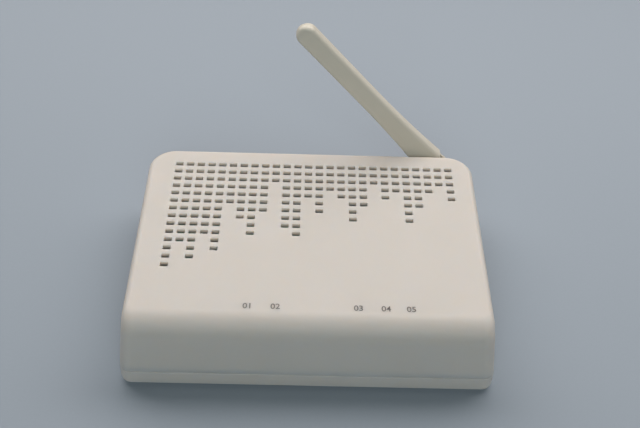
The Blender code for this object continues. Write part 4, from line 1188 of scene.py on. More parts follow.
@dataclass
class Cover(SubAssembly):
    """Upper half of the housing: round nose, drafted sides and the field of vent slots."""

    nose_radius: float = 9.0 * MM
    nose_steps: int = 22
    edge_radius: float = 2.5 * MM
    least_edge: float = 0.4 * MM
    least_corner: float = 1.0 * MM
    boss_radius: float = 3.2 * MM
    bore_top: float = 19.3 * MM
    slot_counts: tuple[int, ...] = (
        14, 11, 13, 10, 12, 6, 8, 10, 7, 3, 9, 10, 5, 7, 4, 5, 8, 6, 3, 5, 4, 8, 6, 4, 3, 5,
    )
    slot_pitch: float = 5.0 * MM
    slot_width: float = 3.4 * MM
    slot_length: float = 2.4 * MM
    slot_corner: float = 0.3 * MM
    slot_corner_steps: int = 2
    slot_flare: float = 0.12 * MM
    slot_shift: float = 1.3 * MM
    slot_first_row: float = 10.6 * MM

    def build(self) -> None:
        """Builds the cover and dresses it."""
        plan = self.plan
        places = plan.bosses().values()
        ceiling = plan.top - plan.wall
        root = ceiling + OVERSHOOT
        cover = self.shell()
        cover.combine(
            Join.ADD, *Workpiece.pillars("boss", self.boss_radius, places, plan.boss_seam + plan.seat, root),
            plan.keeper(ceiling - plan.keeper_height, root),
        )
        cover.combine(Join.CUT, self.window())
        cover.combine(Join.CUT, self.slots(), *Workpiece.pillars(
            "bore", plan.bore_radius, places, plan.boss_seam, self.bore_top, plan.bore_sides,
        ))
        self.dress(cover, Body.HOUSING, Slot.COVER, "top_cover")

    def ring(self, height: float, offset: float) -> Outline:
        """The cover's outline at a height.

        Args:
            height: Height above the desk.
            offset: Distance inside the outer face.

        Returns:
            The outline.
        """
        plan = self.plan
        below_top = plan.top - offset - height
        rise = height - plan.parting
        edge = fillet_inset(max(self.edge_radius - offset, self.least_edge), below_top)
        nose = fillet_inset(self.nose_radius - offset, below_top)
        side = plan.half_width - offset - rise * plan.side_draft - edge
        front = plan.front + offset + rise * plan.front_draft + nose
        front_corner = max(plan.front_corner - offset - edge, self.least_corner)
        rear, rear_corner = plan.rear - offset - edge, plan.rear_corner - offset - edge
        return Outline(-side, side, front, rear, front_corner, rear_corner, height)

    def heights(self, offset: float) -> list[float]:
        """Heights at which the nose is sampled.

        Args:
            offset: Distance inside the outer face.

        Returns:
            The heights, from the nose's foot up.
        """
        radius, top = self.nose_radius - offset, self.plan.top - offset
        angles = (QUARTER_TURN / self.nose_steps * i for i in range(self.nose_steps + 1))
        return [top - radius * (1 - math.sin(angle)) for angle in angles]

    def shell(self) -> Workpiece:
        """Makes the moulding before anything is cut into it.

        Returns:
            The moulding: inside, rim and outside in one.
        """
        plan, chamfer = self.plan, self.plan.rim_chamfer
        foot = plan.parting + plan.seat
        lap_top = foot + plan.tongue_height + plan.seat
        lap = plan.tongue_inset - plan.seat
        inner = [self.ring(height, plan.wall) for height in reversed(self.heights(plan.wall))]
        rim = [
            self.ring(lap_top, plan.wall), self.ring(lap_top - plan.ledge_fall, lap),
            self.ring(foot + plan.ledge_fall, lap), self.ring(foot, chamfer), self.ring(foot + chamfer, 0.0),
        ]
        outer = [self.ring(height, 0.0) for height in self.heights(0.0)]
        return Workpiece.stack("cover_moulding", inner + rim + outer, plan.front_steps, plan.rear_steps)

    def slots(self) -> Workpiece:
        """Makes the cutter for all vent slots: one slot, repeated along each column.

        Returns:
            The cutter.
        """
        plan, flare, pitch = self.plan, self.slot_flare, self.slot_pitch
        x = self.slot_shift - pitch * (len(self.slot_counts) - 1) / 2
        y = plan.rear - self.slot_first_row
        half = Vector((self.slot_width / 2, self.slot_length / 2, 0))
        bottom = Vector((x, y, plan.top - 2 * plan.wall))
        mouth = Vector((x, y, plan.top - flare))
        slot = Workpiece.block("slot", bottom - half, mouth + half)
        slot.round_edges(along(Axis.Z), self.slot_corner, self.slot_corner_steps)
        wider = (1 + 2 * flare / half.x, 1 + 2 * flare / half.y, 1)
        slot.draw_out(upward, (0, 0, 2 * flare), wider, mouth)
        columns = [
            slot.copied("slot_column", (pitch * number, 0, 0)).repeated(count, (0, -pitch, 0))
            for number, count in enumerate(self.slot_counts)
        ]
        slot.discard()
        return columns[0].gather(*columns[1:])

    def window(self) -> Workpiece:
        """Makes the cutter for the opening that the rear panel fills.

        Returns:
            The cutter.
        """
        plan, foot = self.plan, self.plan.window_half_width
        low, high = (plan.panel_outer, plan.parting), (plan.rear + plan.wall, plan.window_top)
        share = plan.drawn_in(foot, plan.window_top) / foot
        block = Workpiece.centred("window", 0, 2 * foot, low, high)
        return block.scale_faces(upward, (share, 1, 1), (0, plan.rear, plan.window_top))


@dataclass
class Tray(SubAssembly):
    """Lower half of the housing: floor vents, keyholes, feet and the cover's screws."""

    edge_radius: float = 1.5 * MM
    edge_steps: int = 6
    post_radius: float = 4.0 * MM
    board_post_spread: float = 49.972 * MM
    board_post_front: float = -26.2285 * MM
    board_post_rear: float = 18.7265 * MM
    board_post_radius: float = 3.0 * MM
    board_post_top: float = 7.9 * MM
    board_bore_radius: float = 1.5 * MM
    counterbore_radius: float = 2.9 * MM
    counterbore_depth: float = 3.0 * MM
    vent_count: int = 9
    vent_pitch: float = 6.0 * MM
    vent_width: float = 2.4 * MM
    vent_length: float = 22.0 * MM
    vent_offset: float = 14.0 * MM
    vent_corner: float = 1.176 * MM
    vent_corner_steps: int = 5
    keyhole_spread: float = 42.0 * MM
    keyhole_radius: float = 4.2 * MM
    keyhole_neck: float = 2.2 * MM
    keyhole_travel: float = 8.0 * MM
    neck_sides: int = 32
    foot_spread: float = 56.0 * MM
    foot_front: float = -43.25 * MM
    foot_rear: float = 31.75 * MM
    foot_recess: float = 1.0 * MM
    foot_radius: float = 5.0 * MM
    foot_rim: float = 0.45 * MM
    foot_bulge: float = 0.135 * MM
    foot_edge: float = 0.1 * MM
    dish_centre: float = 0.5 * MM
    dish_radius: float = 3.3 * MM
    dish_rim: float = 3.6 * MM
    dish_depth: float = 0.12 * MM
    screw_head_radius: float = 2.6 * MM
    screw_head_height: float = 1.8 * MM
    screw_dome: Steps = ((0.3, 0.0), (0.6, 0.06), (0.85, 0.28), (1.0, 0.64), (1.0, 1.0))
    screw_shank_radius: float = 1.3 * MM
    screw_length: float = 14.0 * MM
    screw_taper: float = 2.6 * MM
    screw_tip_radius: float = 0.325 * MM
    screw_sides: int = 32
    cross_width: float = 0.8 * MM
    cross_length: float = 2.6 * MM
    cross_depth: float = 1.0 * MM

    def build(self) -> None:
        """Builds the tray, its feet and its screws, and dresses them."""
        plan = self.plan
        floor, root, below = plan.floor(), plan.floor() - OVERSHOOT, plan.underside - OVERSHOOT
        bosses, feet, posts = plan.bosses().values(), self.feet().values(), self.board_posts().values()
        tray = self.shell()
        tray.combine(
            Join.ADD, *Workpiece.pillars("post", self.post_radius, bosses, root, plan.boss_seam),
            *Workpiece.pillars("board_post", self.board_post_radius, posts, root, self.board_post_top),
            plan.keeper(root, floor + plan.keeper_height),
        )
        recess, sink = plan.underside + self.foot_recess, plan.underside + self.counterbore_depth
        sill = Workpiece.centred(
            "panel_sill", 0, 2 * plan.window_half_width, (plan.rear - plan.wall - plan.seat, plan.parting),
            (plan.rear + OVERSHOOT, plan.parting + plan.tongue_height + OVERSHOOT),
        )
        tray.combine(
            Join.CUT, *Workpiece.pillars("recess", self.foot_radius + plan.seat, feet, below, recess),
            *Workpiece.pillars("sink", self.counterbore_radius, bosses, below, sink),
            sill, *self.vents(), self.keyhole(-1), self.keyhole(1),
        )
        seam, post_top = plan.boss_seam + OVERSHOOT, self.board_post_top + OVERSHOOT
        tray.combine(Join.CUT, *Workpiece.pillars(
            "bore", plan.bore_radius, bosses, plan.underside, seam, plan.bore_sides,
        ), *Workpiece.pillars(
            "board_bore", self.board_bore_radius, posts, floor, post_top, plan.bore_sides,
        ))
        self.dress(tray, Body.HOUSING, Slot.COVER, "bottom_tray")
        self.build_feet()
        self.build_screws()

    def feet(self) -> dict[str, tuple[float, float]]:
        """Places in plan of the four feet."""
        return four_places(self.foot_spread, self.foot_front, self.foot_rear)

    def board_posts(self) -> dict[str, tuple[float, float]]:
        """Places in plan of the four posts under the board."""
        return four_places(self.board_post_spread, self.board_post_front, self.board_post_rear)

    def ring(self, height: float, offset: float) -> Outline:
        """The tray's outline at a height.

        Args:
            height: Height above the desk.
            offset: Distance inside the outer face.

        Returns:
            The outline.
        """
        plan = self.plan
        above_floor = height - plan.underside - offset
        inset = offset + fillet_inset(max(self.edge_radius - offset, 0.0), above_floor)
        return Outline(
            inset - plan.half_width, plan.half_width - inset, plan.front + inset, plan.rear - inset,
            plan.front_corner - inset, plan.rear_corner - inset, height,
        )

    def shell(self) -> Workpiece:
        """Makes the moulding before anything is cut into it.

        Returns:
            The moulding: inside, tongue, rim and outside in one.
        """
        plan, chamfer = self.plan, self.plan.rim_chamfer
        tongue_top = plan.parting + plan.tongue_height
        angles = (QUARTER_TURN / self.edge_steps * i for i in range(self.edge_steps, -1, -1))
        edge = [plan.underside + self.edge_radius * (1 - math.cos(angle)) for angle in angles]
        rings = [
            self.ring(plan.floor(), plan.wall), self.ring(tongue_top, plan.wall),
            self.ring(tongue_top - plan.ledge_fall, plan.tongue_inset),
            self.ring(plan.parting + plan.ledge_fall, plan.tongue_inset), self.ring(plan.parting, chamfer),
            self.ring(plan.parting - chamfer, 0.0), *(self.ring(height, 0.0) for height in edge),
        ]
        return Workpiece.stack("tray_moulding", rings, plan.front_steps, plan.rear_steps)

    def keyhole(self, side: int) -> Workpiece:
        """Makes the cutter for a hole that hangs the modem on a screw.

        Args:
            side: -1 for the left and 1 for the right.

        Returns:
            The cutter.
        """
        plan, neck = self.plan, self.keyhole_neck
        x, y = side * self.keyhole_spread, plan.middle()
        rest = y + self.keyhole_travel
        low, high = plan.underside - OVERSHOOT, plan.floor() + OVERSHOOT
        entry = Workpiece.drum("keyhole", self.keyhole_radius, (x, y, low), (x, y, high))
        entry.combine(Join.ADD, Workpiece.centred("neck", x, 2 * neck, (y, low), (rest, high)))
        return entry.combine(Join.ADD, Workpiece.drum(
            "neck_end", neck, (x, rest, low), (x, rest, high), self.neck_sides,
        ))

    def vents(self) -> list[Workpiece]:
        """Makes the cutters for the two rows of floor vents.

        Returns:
            One cutter for each row.
        """
        plan, half = self.plan, self.vent_length / 2
        first = -self.vent_pitch * (self.vent_count - 1) / 2
        low, high = plan.underside - OVERSHOOT, plan.floor() + OVERSHOOT
        rows = []
        for y in (plan.middle() - self.vent_offset, plan.middle() + self.vent_offset):
            vent = Workpiece.centred("vent", first, self.vent_width, (y - half, low), (y + half, high))
            vent.round_edges(along(Axis.Z), self.vent_corner, self.vent_corner_steps)
            rows.append(vent.repeated(self.vent_count, (self.vent_pitch, 0, 0)))
        return rows

    def build_feet(self) -> None:
        """Builds the four rubber feet: a soft rim round a shallow dish."""
        top = self.plan.underside + self.foot_recess - self.plan.seat
        radius, rim, bulge, edge = self.foot_radius, self.foot_rim, self.foot_bulge, self.foot_edge
        foot = Workpiece.turned("foot", [
            (self.dish_centre, self.dish_depth), (self.dish_radius, self.dish_depth), (self.dish_rim, 0.0),
            (radius - rim, 0.0), (radius - bulge, bulge), (radius, rim), (radius, top - edge),
            (radius - edge, top),
        ])
        for where, (x, y) in self.feet().items():
            copy = foot.copied(f"rubber_{where}", (x, y, 0))
            self.dress(copy, Body.HOUSING, Slot.FOOT, f"foot_{where}")
        foot.discard()

    def build_screws(self) -> None:
        """Builds the four screws that hold the cover: a domed head with a cross recess."""
        rise, shank, length = self.screw_head_height, self.screw_shank_radius, self.screw_length
        screw = Workpiece.turned("screw", [
            *rounded_end(self.screw_head_radius, -rise, -rise, self.screw_dome), (shank, 0.0),
            (shank, length - self.screw_taper), (self.screw_tip_radius, length),
        ], self.screw_sides)
        long, narrow = self.cross_length, self.cross_width
        low, high = -rise - OVERSHOOT, self.cross_depth - rise
        for width, length_y in ((long, narrow), (narrow, long)):
            half = length_y / 2
            screw.combine(Join.CUT, Workpiece.centred("cross", 0, width, (-half, low), (half, high)))
        seat = self.plan.underside + self.counterbore_depth - self.plan.seat
        for where, (x, y) in self.plan.bosses().items():
            copy = screw.copied(f"screw_{where}", (x, y, seat))
            self.dress(copy, Body.HOUSING, Slot.STEEL, f"cover_screw_{where}")
        screw.discard()


@dataclass
class ModularSocket(SubAssembly):
    """A modular socket behind the rear panel, with its comb of contact wires.

    The sizes are those of a network socket.
    """

    name: str
    node: str
    x: float
    width: float = 15.4 * MM
    depth: float = 15.0 * MM
    height: float = 13.0 * MM
    edge: float = 0.16 * MM
    cavity_width: float = 11.9 * MM
    cavity_depth: float = 12.0 * MM
    cavity_height: float = 6.9 * MM
    latch_floor: float = 1.6 * MM
    latch_width: float = 6.2 * MM
    latch_height: float = 2.0 * MM
    ledge_share: float = 1.44
    ledge_setback: float = 3.0 * MM
    tooth_width: float = 0.32 * MM
    tooth_inset: float = 2.0 * MM
    tooth_setback: float = 3.6 * MM
    tooth_drop: float = 1.1 * MM
    tooth_root: float = 0.2 * MM
    wires: int = 8
    wire: float = 0.45 * MM
    wire_pitch: float = 1.02 * MM
    wire_drop: float = 1.6 * MM
    wire_steps: int = 8
    wire_edge: float = 0.06 * MM
    comb_setback: float = 2.0 * MM
    comb_depth: float = 1.2 * MM
    comb_height: float = 0.8 * MM

    def build(self) -> None:
        """Builds the body, with a stepped notch for the plug's latch and a toothed comb, and the wires."""
        face, base = self.plan.panel_outer, self.plan.mounted
        mouth, back = face + OVERSHOOT, face - self.cavity_depth
        notch = base + self.latch_floor
        floor = notch + self.latch_height
        ceiling = floor + self.cavity_height
        ledge, ledge_end = floor - self.latch_height / 2, face - self.ledge_setback
        body = Workpiece.centred(
            self.name, self.x, self.width, (face - self.depth, base), (face, base + self.height),
        )
        for width, low, high in (
            (self.cavity_width, (back, floor), (mouth, ceiling)),
            (self.latch_width, (back, notch), (mouth, floor + OVERSHOOT)),
            (self.ledge_share * self.latch_width, (back, ledge), (ledge_end, floor + OVERSHOOT)),
        ):
            body.combine(Join.CUT, Workpiece.centred("hollow", self.x, width, low, high))
        tooth = Workpiece.centred(
            "tooth", self.first(self.wires - 1), self.tooth_width,
            (back + self.tooth_inset, ceiling - self.tooth_drop),
            (face - self.tooth_setback, ceiling + self.tooth_root),
        )
        body.soften(self.edge)
        body.combine(Join.ADD, tooth.repeated(self.wires - 1, (self.wire_pitch, 0, 0)))
        self.dress(body, Body.HOUSING, Slot.BLACK, self.node)
        self.build_contacts(ceiling - self.plan.seat)

    def first(self, count: int) -> float:
        """X of the first in a row of wires or teeth about the socket's middle."""
        return self.x - self.wire_pitch * (count - 1) / 2

    def build_contacts(self, top: float) -> None:
        """Builds the contact wires: each springs down in a curve from the bar that holds them.

        Args:
            top: Height of the bar's upper face.
        """
        near, steps = self.plan.panel_outer - self.comb_setback, self.wire_steps
        start, high = near - self.comb_depth / 2, top - (self.comb_height - self.wire) / 2
        length = self.cavity_depth - self.plan.seat - self.comb_setback - self.comb_depth / 2
        stride = length / steps
        wire = Workpiece.centred(
            "wire", self.first(self.wires), self.wire, (start - stride, high - self.wire), (start, high),
        )
        for number in range(1, steps):
            drop = self.wire_drop * ((number + 1) ** 2 - number ** 2) / steps ** 2
            wire.draw_out(forward, (0, -stride, -drop))
        wire.repeated(self.wires, (self.wire_pitch, 0, 0))
        bar = Workpiece.centred(
            f"{self.name}_wires", self.x, self.wire_pitch * (self.wires - 1) + 2 * self.wire,
            (near - self.comb_depth, top - self.comb_height), (near, top),
        )
        bar.combine(Join.ADD, wire).soften(self.wire_edge, 1)
        self.dress(bar, Body.HOUSING, Slot.GOLD, f"{self.node}_contacts")


@dataclass
class LineSocket(ModularSocket):
    """The narrower socket of the telephone line."""

    width: float = 12.6 * MM
    height: float = 12.0 * MM
    cavity_width: float = 9.9 * MM
    latch_width: float = 4.4 * MM
    wires: int = 6


@dataclass
class RearPanel(SubAssembly):
    """Port plate with its openings, and the sockets, power inlet and buttons that show in them."""

    lap: float = 1.0 * MM
    plate_edge: float = 0.22 * MM
    line_x: float = 37.9874 * MM
    inlet_x: float = -34.0318 * MM
    inlet_width: float = 9.4 * MM
    inlet_depth: float = 14.0 * MM
    inlet_height: float = 11.0 * MM
    inlet_edge: float = 0.25 * MM
    inlet_axis: float = 6.2 * MM
    inlet_bore: float = 3.2 * MM
    inlet_bore_depth: float = 10.0 * MM
    inlet_flare: float = 0.5 * MM
    pin_radius: float = 1.0 * MM
    pin_length: float = 8.5 * MM
    pin_tip: Steps = ((1.0, 1.1), (0.92, 0.6), (0.7, 0.22), (0.3, 0.0))
    power_x: float = -51.9684 * MM
    power_axis: float = 14.6 * MM
    button_side: float = 8.0 * MM
    button_corner: float = 1.4 * MM
    button_corner_steps: int = 6
    button_edge: float = 0.6 * MM
    button_edge_steps: int = 4
    button_rim: float = 0.4 * MM
    button_dish: float = 0.25 * MM
    button_proud: float = 3.2 * MM
    button_depth: float = 9.0 * MM
    stem_radius: float = 1.5 * MM
    stem_length: float = 6.0 * MM
    reset_x: float = -18.0048 * MM
    reset_axis: float = 13.1 * MM
    reset_hole: float = 1.3 * MM
    reset_radius: float = 1.1 * MM
    reset_length: float = 6.0 * MM
    reset_crown: Steps = ((1.0, 0.35), (0.65, 0.0), (0.4, 0.0))
    reset_dimple: tuple[float, float] = (0.33 * MM, 0.15 * MM)
    swivel_hole: float = 4.3 * MM
    small_sides: int = 32

    def build(self) -> None:
        """Builds the panel and everything that shows in it, and dresses them."""
        plate = self.plate().combine(Join.CUT, *self.openings()).soften(self.plate_edge)
        self.dress(plate, Body.HOUSING, Slot.COVER, "rear_panel")
        for socket in self.sockets():
            socket.build()
        self.build_inlet()
        self.build_power_button()
        self.build_reset_button()

    def sockets(self) -> list[ModularSocket]:
        """Lays out the sockets.

        Returns:
            The line socket and the network sockets.
        """
        shared = self.plan, self.finishes
        return [LineSocket(*shared, "line_port", "dsl_socket", self.line_x), *(
            ModularSocket(*shared, f"network_port_{number}", f"lan_socket_{number}", x)
            for number, x in enumerate(self.plan.network_ports, 1)
        )]

    def plate(self) -> Workpiece:
        """Makes the plate before its cut-outs: upright at the foot and drawn in above the parting line.

        Returns:
            The plate.
        """
        plan, foot, top = self.plan, self.plan.window_half_width + self.lap, self.plan.window_top + self.lap
        plate = Workpiece.centred(
            "port_plate", 0, 2 * foot, (plan.panel_inner, plan.floor() + plan.seat),
            (plan.panel_outer, plan.parting),
        )
        share = plan.drawn_in(foot, top) / foot
        return plate.draw_out(upward, (0, 0, top - plan.parting), (share, 1, 1), (0, 0, top))

    def openings(self) -> list[Workpiece]:
        """Makes the cutters for the plate's cut-outs.

        Returns:
            One cutter for each.
        """
        plan, room = self.plan, self.plan.seat
        near, far = plan.panel_inner - OVERSHOOT, plan.panel_outer + OVERSHOOT
        low = plan.mounted - room
        holes = [
            Workpiece.centred("hole", x, width + 2 * room, (near, low), (far, plan.mounted + height + room))
            for x, width, height in (
                *((socket.x, socket.width, socket.height) for socket in self.sockets()),
                (self.inlet_x, self.inlet_width, self.inlet_height),
            )
        ]
        reach = self.button_side / 2 + room
        square = Workpiece.centred(
            "hole", self.power_x, 2 * reach, (near, self.power_axis - reach), (far, self.power_axis + reach),
        )
        holes.append(square.round_edges(along(Axis.Y), self.button_corner, self.button_corner_steps))
        for x, height, radius in (
            (self.reset_x, self.reset_axis, self.reset_hole),
            (plan.swivel_x, plan.swivel_height, self.swivel_hole),
        ):
            holes.append(Workpiece.drum("hole", radius, (x, near, height), (x, far, height)))
        return holes

    def build_inlet(self) -> None:
        """Builds the power inlet: a block with a flared bore, and its centre pin."""
        face, base, x = self.plan.panel_outer, self.plan.mounted, self.inlet_x
        axis = base + self.inlet_axis
        radius, depth, flare = self.inlet_bore, self.inlet_bore_depth, self.inlet_flare
        body = Workpiece.centred(
            "power_port", x, self.inlet_width, (face - self.inlet_depth, base),
            (face, base + self.inlet_height),
        )
        bore = Workpiece.turned("bore", [
            (radius, 0.0), (radius, depth - flare), (radius + flare, depth),
            (radius + 2 * flare, depth + flare),
        ])
        bore.moved(Matrix.Translation((x, face - depth, axis)) @ FACING_REAR)
        body.soften(self.inlet_edge).combine(Join.CUT, bore)
        self.dress(body, Body.HOUSING, Slot.BLACK, "power_inlet")
        tip = rounded_end(self.pin_radius, self.pin_length, self.pin_radius, self.pin_tip)
        pin = Workpiece.turned("power_pin", [(self.pin_radius, 0.0), *tip], self.small_sides)
        pin.moved(Matrix.Translation((x, face - depth + self.plan.seat, axis)) @ FACING_REAR)
        self.dress(pin, Body.HOUSING, Slot.STEEL, "power_inlet_pin")

    def build_power_button(self) -> None:
        """Builds the square power button with a shallow dish in its face, and its stem."""
        half, x, z = self.button_side / 2, self.power_x, self.power_axis
        face = self.plan.panel_outer + self.button_proud
        back = face - self.button_depth
        button = Workpiece.centred("power_key", x, self.button_side, (back, z - half), (face, z + half))
        button.round_edges(along(Axis.Y), self.button_corner, self.button_corner_steps)
        button.round_edges(
            lambda edge: all(corner.co.y > face - TOUCH for corner in edge.verts),
            self.button_edge, self.button_edge_steps,
        )
        for border, depth in ((self.button_rim, 0.0), (self.button_dish, -self.button_dish)):
            button.inset(lambda part: rearward(part) and part.calc_area() > half * half, border, depth)
        root, end = (x, back + OVERSHOOT, z), (x, back - self.stem_length, z)
        button.combine(Join.ADD, Workpiece.drum("stem", self.stem_radius, root, end, self.small_sides))
        self.dress(button, Body.POWER_BUTTON, Slot.BUTTON, "power_button")

    def build_reset_button(self) -> None:
        """Builds the plunger behind the reset pinhole, with a dimple in its crown."""
        radius, length = self.reset_radius, self.reset_length
        dimple, depth = self.reset_dimple
        plunger = Workpiece.turned("reset_plunger", [
            (radius, 0.0), *rounded_end(radius, length, radius, self.reset_crown), (dimple, length - depth),
        ], self.small_sides)
        place = (self.reset_x, self.plan.panel_inner - self.plan.seat - length, self.reset_axis)
        plunger.moved(Matrix.Translation(place) @ FACING_REAR)
        self.dress(plunger, Body.RESET_BUTTON, Slot.BUTTON, "reset_button")


@dataclass
class Antenna(SubAssembly):
    """Swivelling paddle antenna, modelled upright about its fold pin and then leant to the left."""

    pivot_rear: float = 56.25 * MM
    lean: float = math.radians(41.0)
    length: float = 103.2 * MM
    sleeve_start: float = 5.8 * MM
    neck: float = 0.6 * MM
    foot_width: float = 13.6 * MM
    foot_depth: float = 6.8 * MM
    foot_edge: float = 0.3 * MM
    foot_edge_steps: int = 3
    width: float = 9.5 * MM
    depth: float = 6.2 * MM
    flare: float = 48.5 * MM
    flare_steps: int = 14
    edge: float = 2.0 * MM
    edge_steps: int = 7
    edge_share: float = 0.9
    tip_flat: float = 0.25 * MM
    tip_fullness: float = 0.6
    tip_steps: int = 16
    bore_width: float = 5.4 * MM
    bore_depth: float = 2.8 * MM
    bore_length: float = 86.0 * MM
    knuckle_radius: float = 4.0 * MM
    knuckle_half_width: float = 5.3 * MM
    knuckle_step: float = 0.2 * MM
    knuckle_edge: float = 0.3 * MM
    knuckle_edge_steps: int = 3
    web_start: float = 4.0 * MM
    plug_length: float = 8.0 * MM
    pocket_depth: float = 1.9 * MM
    pocket_half_length: float = 1.9 * MM
    pocket_low: float = 2.1 * MM
    pocket_high: float = 4.5 * MM
    lug_half_width: float = 2.0 * MM
    lug_radius: float = 3.4 * MM
    lug_neck: float = 2.89 * MM
    lug_relief: float = 0.02 * MM
    fork_room: float = 0.25 * MM
    pin_radius: float = 1.2 * MM
    pin_room: float = 0.15 * MM
    small_edge: float = 0.2 * MM
    barrel_radius: float = 5.0 * MM
    barrel_rear: float = -4.6 * MM
    barrel_round: Steps = ((0.0, 0.5 * MM), (0.075 * MM, 0.25 * MM), (0.5 * MM, 0.0))
    flange: float = -8.4 * MM
    flange_edge: float = 0.25 * MM
    shank_radius: float = 4.0 * MM
    shank_end: float = -13.5 * MM
    groove_rear: float = -11.0 * MM
    groove_front: float = -12.3 * MM
    groove: float = 0.8 * MM
    lead_bore: float = 1.4 * MM
    lead_bore_sides: int = 32
    fine_sides: int = 64

    def build(self) -> None:
        """Builds the antenna and dresses it."""
        self.build_sleeve()
        self.build_knuckle()
        self.build_swivel()
        pin = self.across("fold_pin", self.pin_radius, self.knuckle_half_width - self.plan.seat)
        self.lean_and_dress(pin.soften(self.small_edge), Body.PADDLE, Slot.STEEL, "antenna_pin")

    def lean_and_dress(self, piece: Workpiece, body: Body, slot: Slot, node: str) -> None:
        """Puts an upright piece in its place in the modem and dresses it.

        Args:
            piece: The piece, about the fold pin.
            body: Body that carries it.
            slot: Its material slot.
            node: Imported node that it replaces.
        """
        pivot = (self.plan.swivel_x, self.pivot_rear, self.plan.swivel_height)
        piece.moved(Matrix.Translation(pivot) @ Matrix.Rotation(-self.lean, 4, "Y"))
        self.dress(piece, body, slot, node)

    def across(self, name: str, radius: float, half: float, sides: int = ROUND_SIDES) -> Workpiece:
        """A drum about the fold pin's axis, of a given half length."""
        return Workpiece.drum(name, radius, (-half, 0, 0), (half, 0, 0), sides)

    def eye(self, half: float) -> Workpiece:
        """Cutter for the pin's hole through a piece of a given half width."""
        return self.across("eye", self.pin_radius + self.pin_room, 2 * half)

    def section(self, height: float) -> Outline:
        """The sleeve's outline at a height.

        Args:
            height: Height above the fold pin.

        Returns:
            The outline.
        """
        share = min(max((height - self.sleeve_start) / self.flare, 0.0), 1.0)
        ease = (1 - share) ** 2
        width = self.width + (self.foot_width - self.width) * ease
        depth = self.depth + (self.foot_depth - self.depth) * ease
        tip = self.width / 2
        above = max(height - (self.length - tip), 0.0) / tip
        close = math.sqrt(max(1 - above * above, 0.0))
        half_width = max(width / 2 * close, self.tip_flat)
        half_depth = max(depth / 2 * close ** self.tip_fullness, self.tip_flat)
        edge = min(self.edge, self.edge_share * half_width, self.edge_share * half_depth)
        return Outline(-half_width, half_width, -half_depth, half_depth, edge, edge, height)

    def build_sleeve(self) -> None:
        """Builds the hollow paddle."""
        tip = self.width / 2
        foot, flare = self.sleeve_start + self.neck, self.flare - self.neck
        heights = [foot + flare * i / self.flare_steps for i in range(self.flare_steps + 1)]
        angles = (QUARTER_TURN / self.tip_steps * i for i in range(self.tip_steps + 1))
        heights += [self.length - tip + tip * math.sin(angle) for angle in angles]
        outlines = [self.section(height) for height in heights]
        sleeve = Workpiece.stack("antenna_paddle_sleeve", outlines, self.edge_steps, self.edge_steps)
        sleeve.round_edges(
            lambda edge: all(corner.co.z < foot + TOUCH for corner in edge.verts),
            self.foot_edge, self.foot_edge_steps,
        )
        sleeve.combine(Join.CUT, Workpiece.centred(
            "hollow", 0, self.bore_width, (-self.bore_depth / 2, self.sleeve_start - OVERSHOOT),
            (self.bore_depth / 2, self.sleeve_start + self.bore_length),
        ))
        self.lean_and_dress(sleeve, Body.PADDLE, Slot.ANTENNA, "antenna_sleeve")

    def build_knuckle(self) -> None:
        """Builds the clevis under the sleeve: two round ears about the pin and a plug into the sleeve."""
        seat, half = self.plan.seat, self.knuckle_half_width
        top, depth = self.sleeve_start - seat, self.foot_depth / 2 - self.knuckle_step
        reach, gap = 2 * self.knuckle_radius, self.lug_half_width + self.fork_room
        knuckle = self.across("antenna_clevis", self.knuckle_radius, half, self.fine_sides)
        knuckle.combine(Join.ADD, Workpiece.centred("web", 0, 2 * half, (-depth, 0), (depth, top)))
        knuckle.combine(Join.CUT, Workpiece.centred(
            "fork", 0, 2 * gap, (-reach, -reach), (reach, self.web_start),
        ))
        knuckle.combine(Join.CUT, self.eye(half))
        inner, outer = half - self.pocket_depth, half + OVERSHOOT
        for low, high in ((inner, outer), (-outer, -inner)):
            knuckle.combine(Join.CUT, Workpiece.block(
                "pocket", (low, -self.pocket_half_length, self.pocket_low),
                (high, self.pocket_half_length, self.pocket_high),
            ))
        knuckle.soften(self.knuckle_edge, self.knuckle_edge_steps)
        deep = self.bore_depth / 2 - seat
        plug = Workpiece.centred(
            "plug", 0, self.bore_width - 2 * seat, (-deep, top - OVERSHOOT), (deep, top + self.plug_length),
        )
        knuckle.combine(Join.ADD, plug.soften(self.small_edge))
        self.lean_and_dress(knuckle, Body.PADDLE, Slot.ANTENNA, "antenna_knuckle")

    def build_swivel(self) -> None:
        """Builds the barrel that turns in the panel, with the lug that carries the pin."""
        shank, barrel, rear = self.shank_radius, self.barrel_radius, self.barrel_rear
        neck, end, half = shank - self.groove, self.shank_end, self.lug_half_width
        swivel = Workpiece.turned("antenna_barrel", [
            (shank - self.small_edge, end), (shank, end + self.small_edge),
            (shank, self.groove_front), (neck, self.groove_front),
            (neck, self.groove_rear), (shank, self.groove_rear), (shank, self.flange),
            (barrel - self.flange_edge, self.flange), (barrel, self.flange + self.flange_edge),
            *((barrel - inset, rear - setback) for inset, setback in self.barrel_round),
        ], self.fine_sides)
        swivel.moved(FACING_REAR)
        lug = self.across("lug", self.lug_radius, half, self.fine_sides)
        lug.combine(Join.ADD, Workpiece.centred(
            "neck", 0, 2 * (half - self.lug_relief), (rear - OVERSHOOT, -self.lug_neck), (0, self.lug_neck),
        ))
        lug.combine(Join.CUT, self.eye(half))
        swivel.combine(Join.ADD, lug.soften(self.small_edge))
        mouth, bottom = (0, end - OVERSHOOT, 0), (0, rear - OVERSHOOT, 0)
        swivel.combine(
            Join.CUT, Workpiece.drum("lead_bore", self.lead_bore, mouth, bottom, self.lead_bore_sides),
        )
        self.lean_and_dress(swivel, Body.SWIVEL, Slot.ANTENNA, "antenna_swivel")


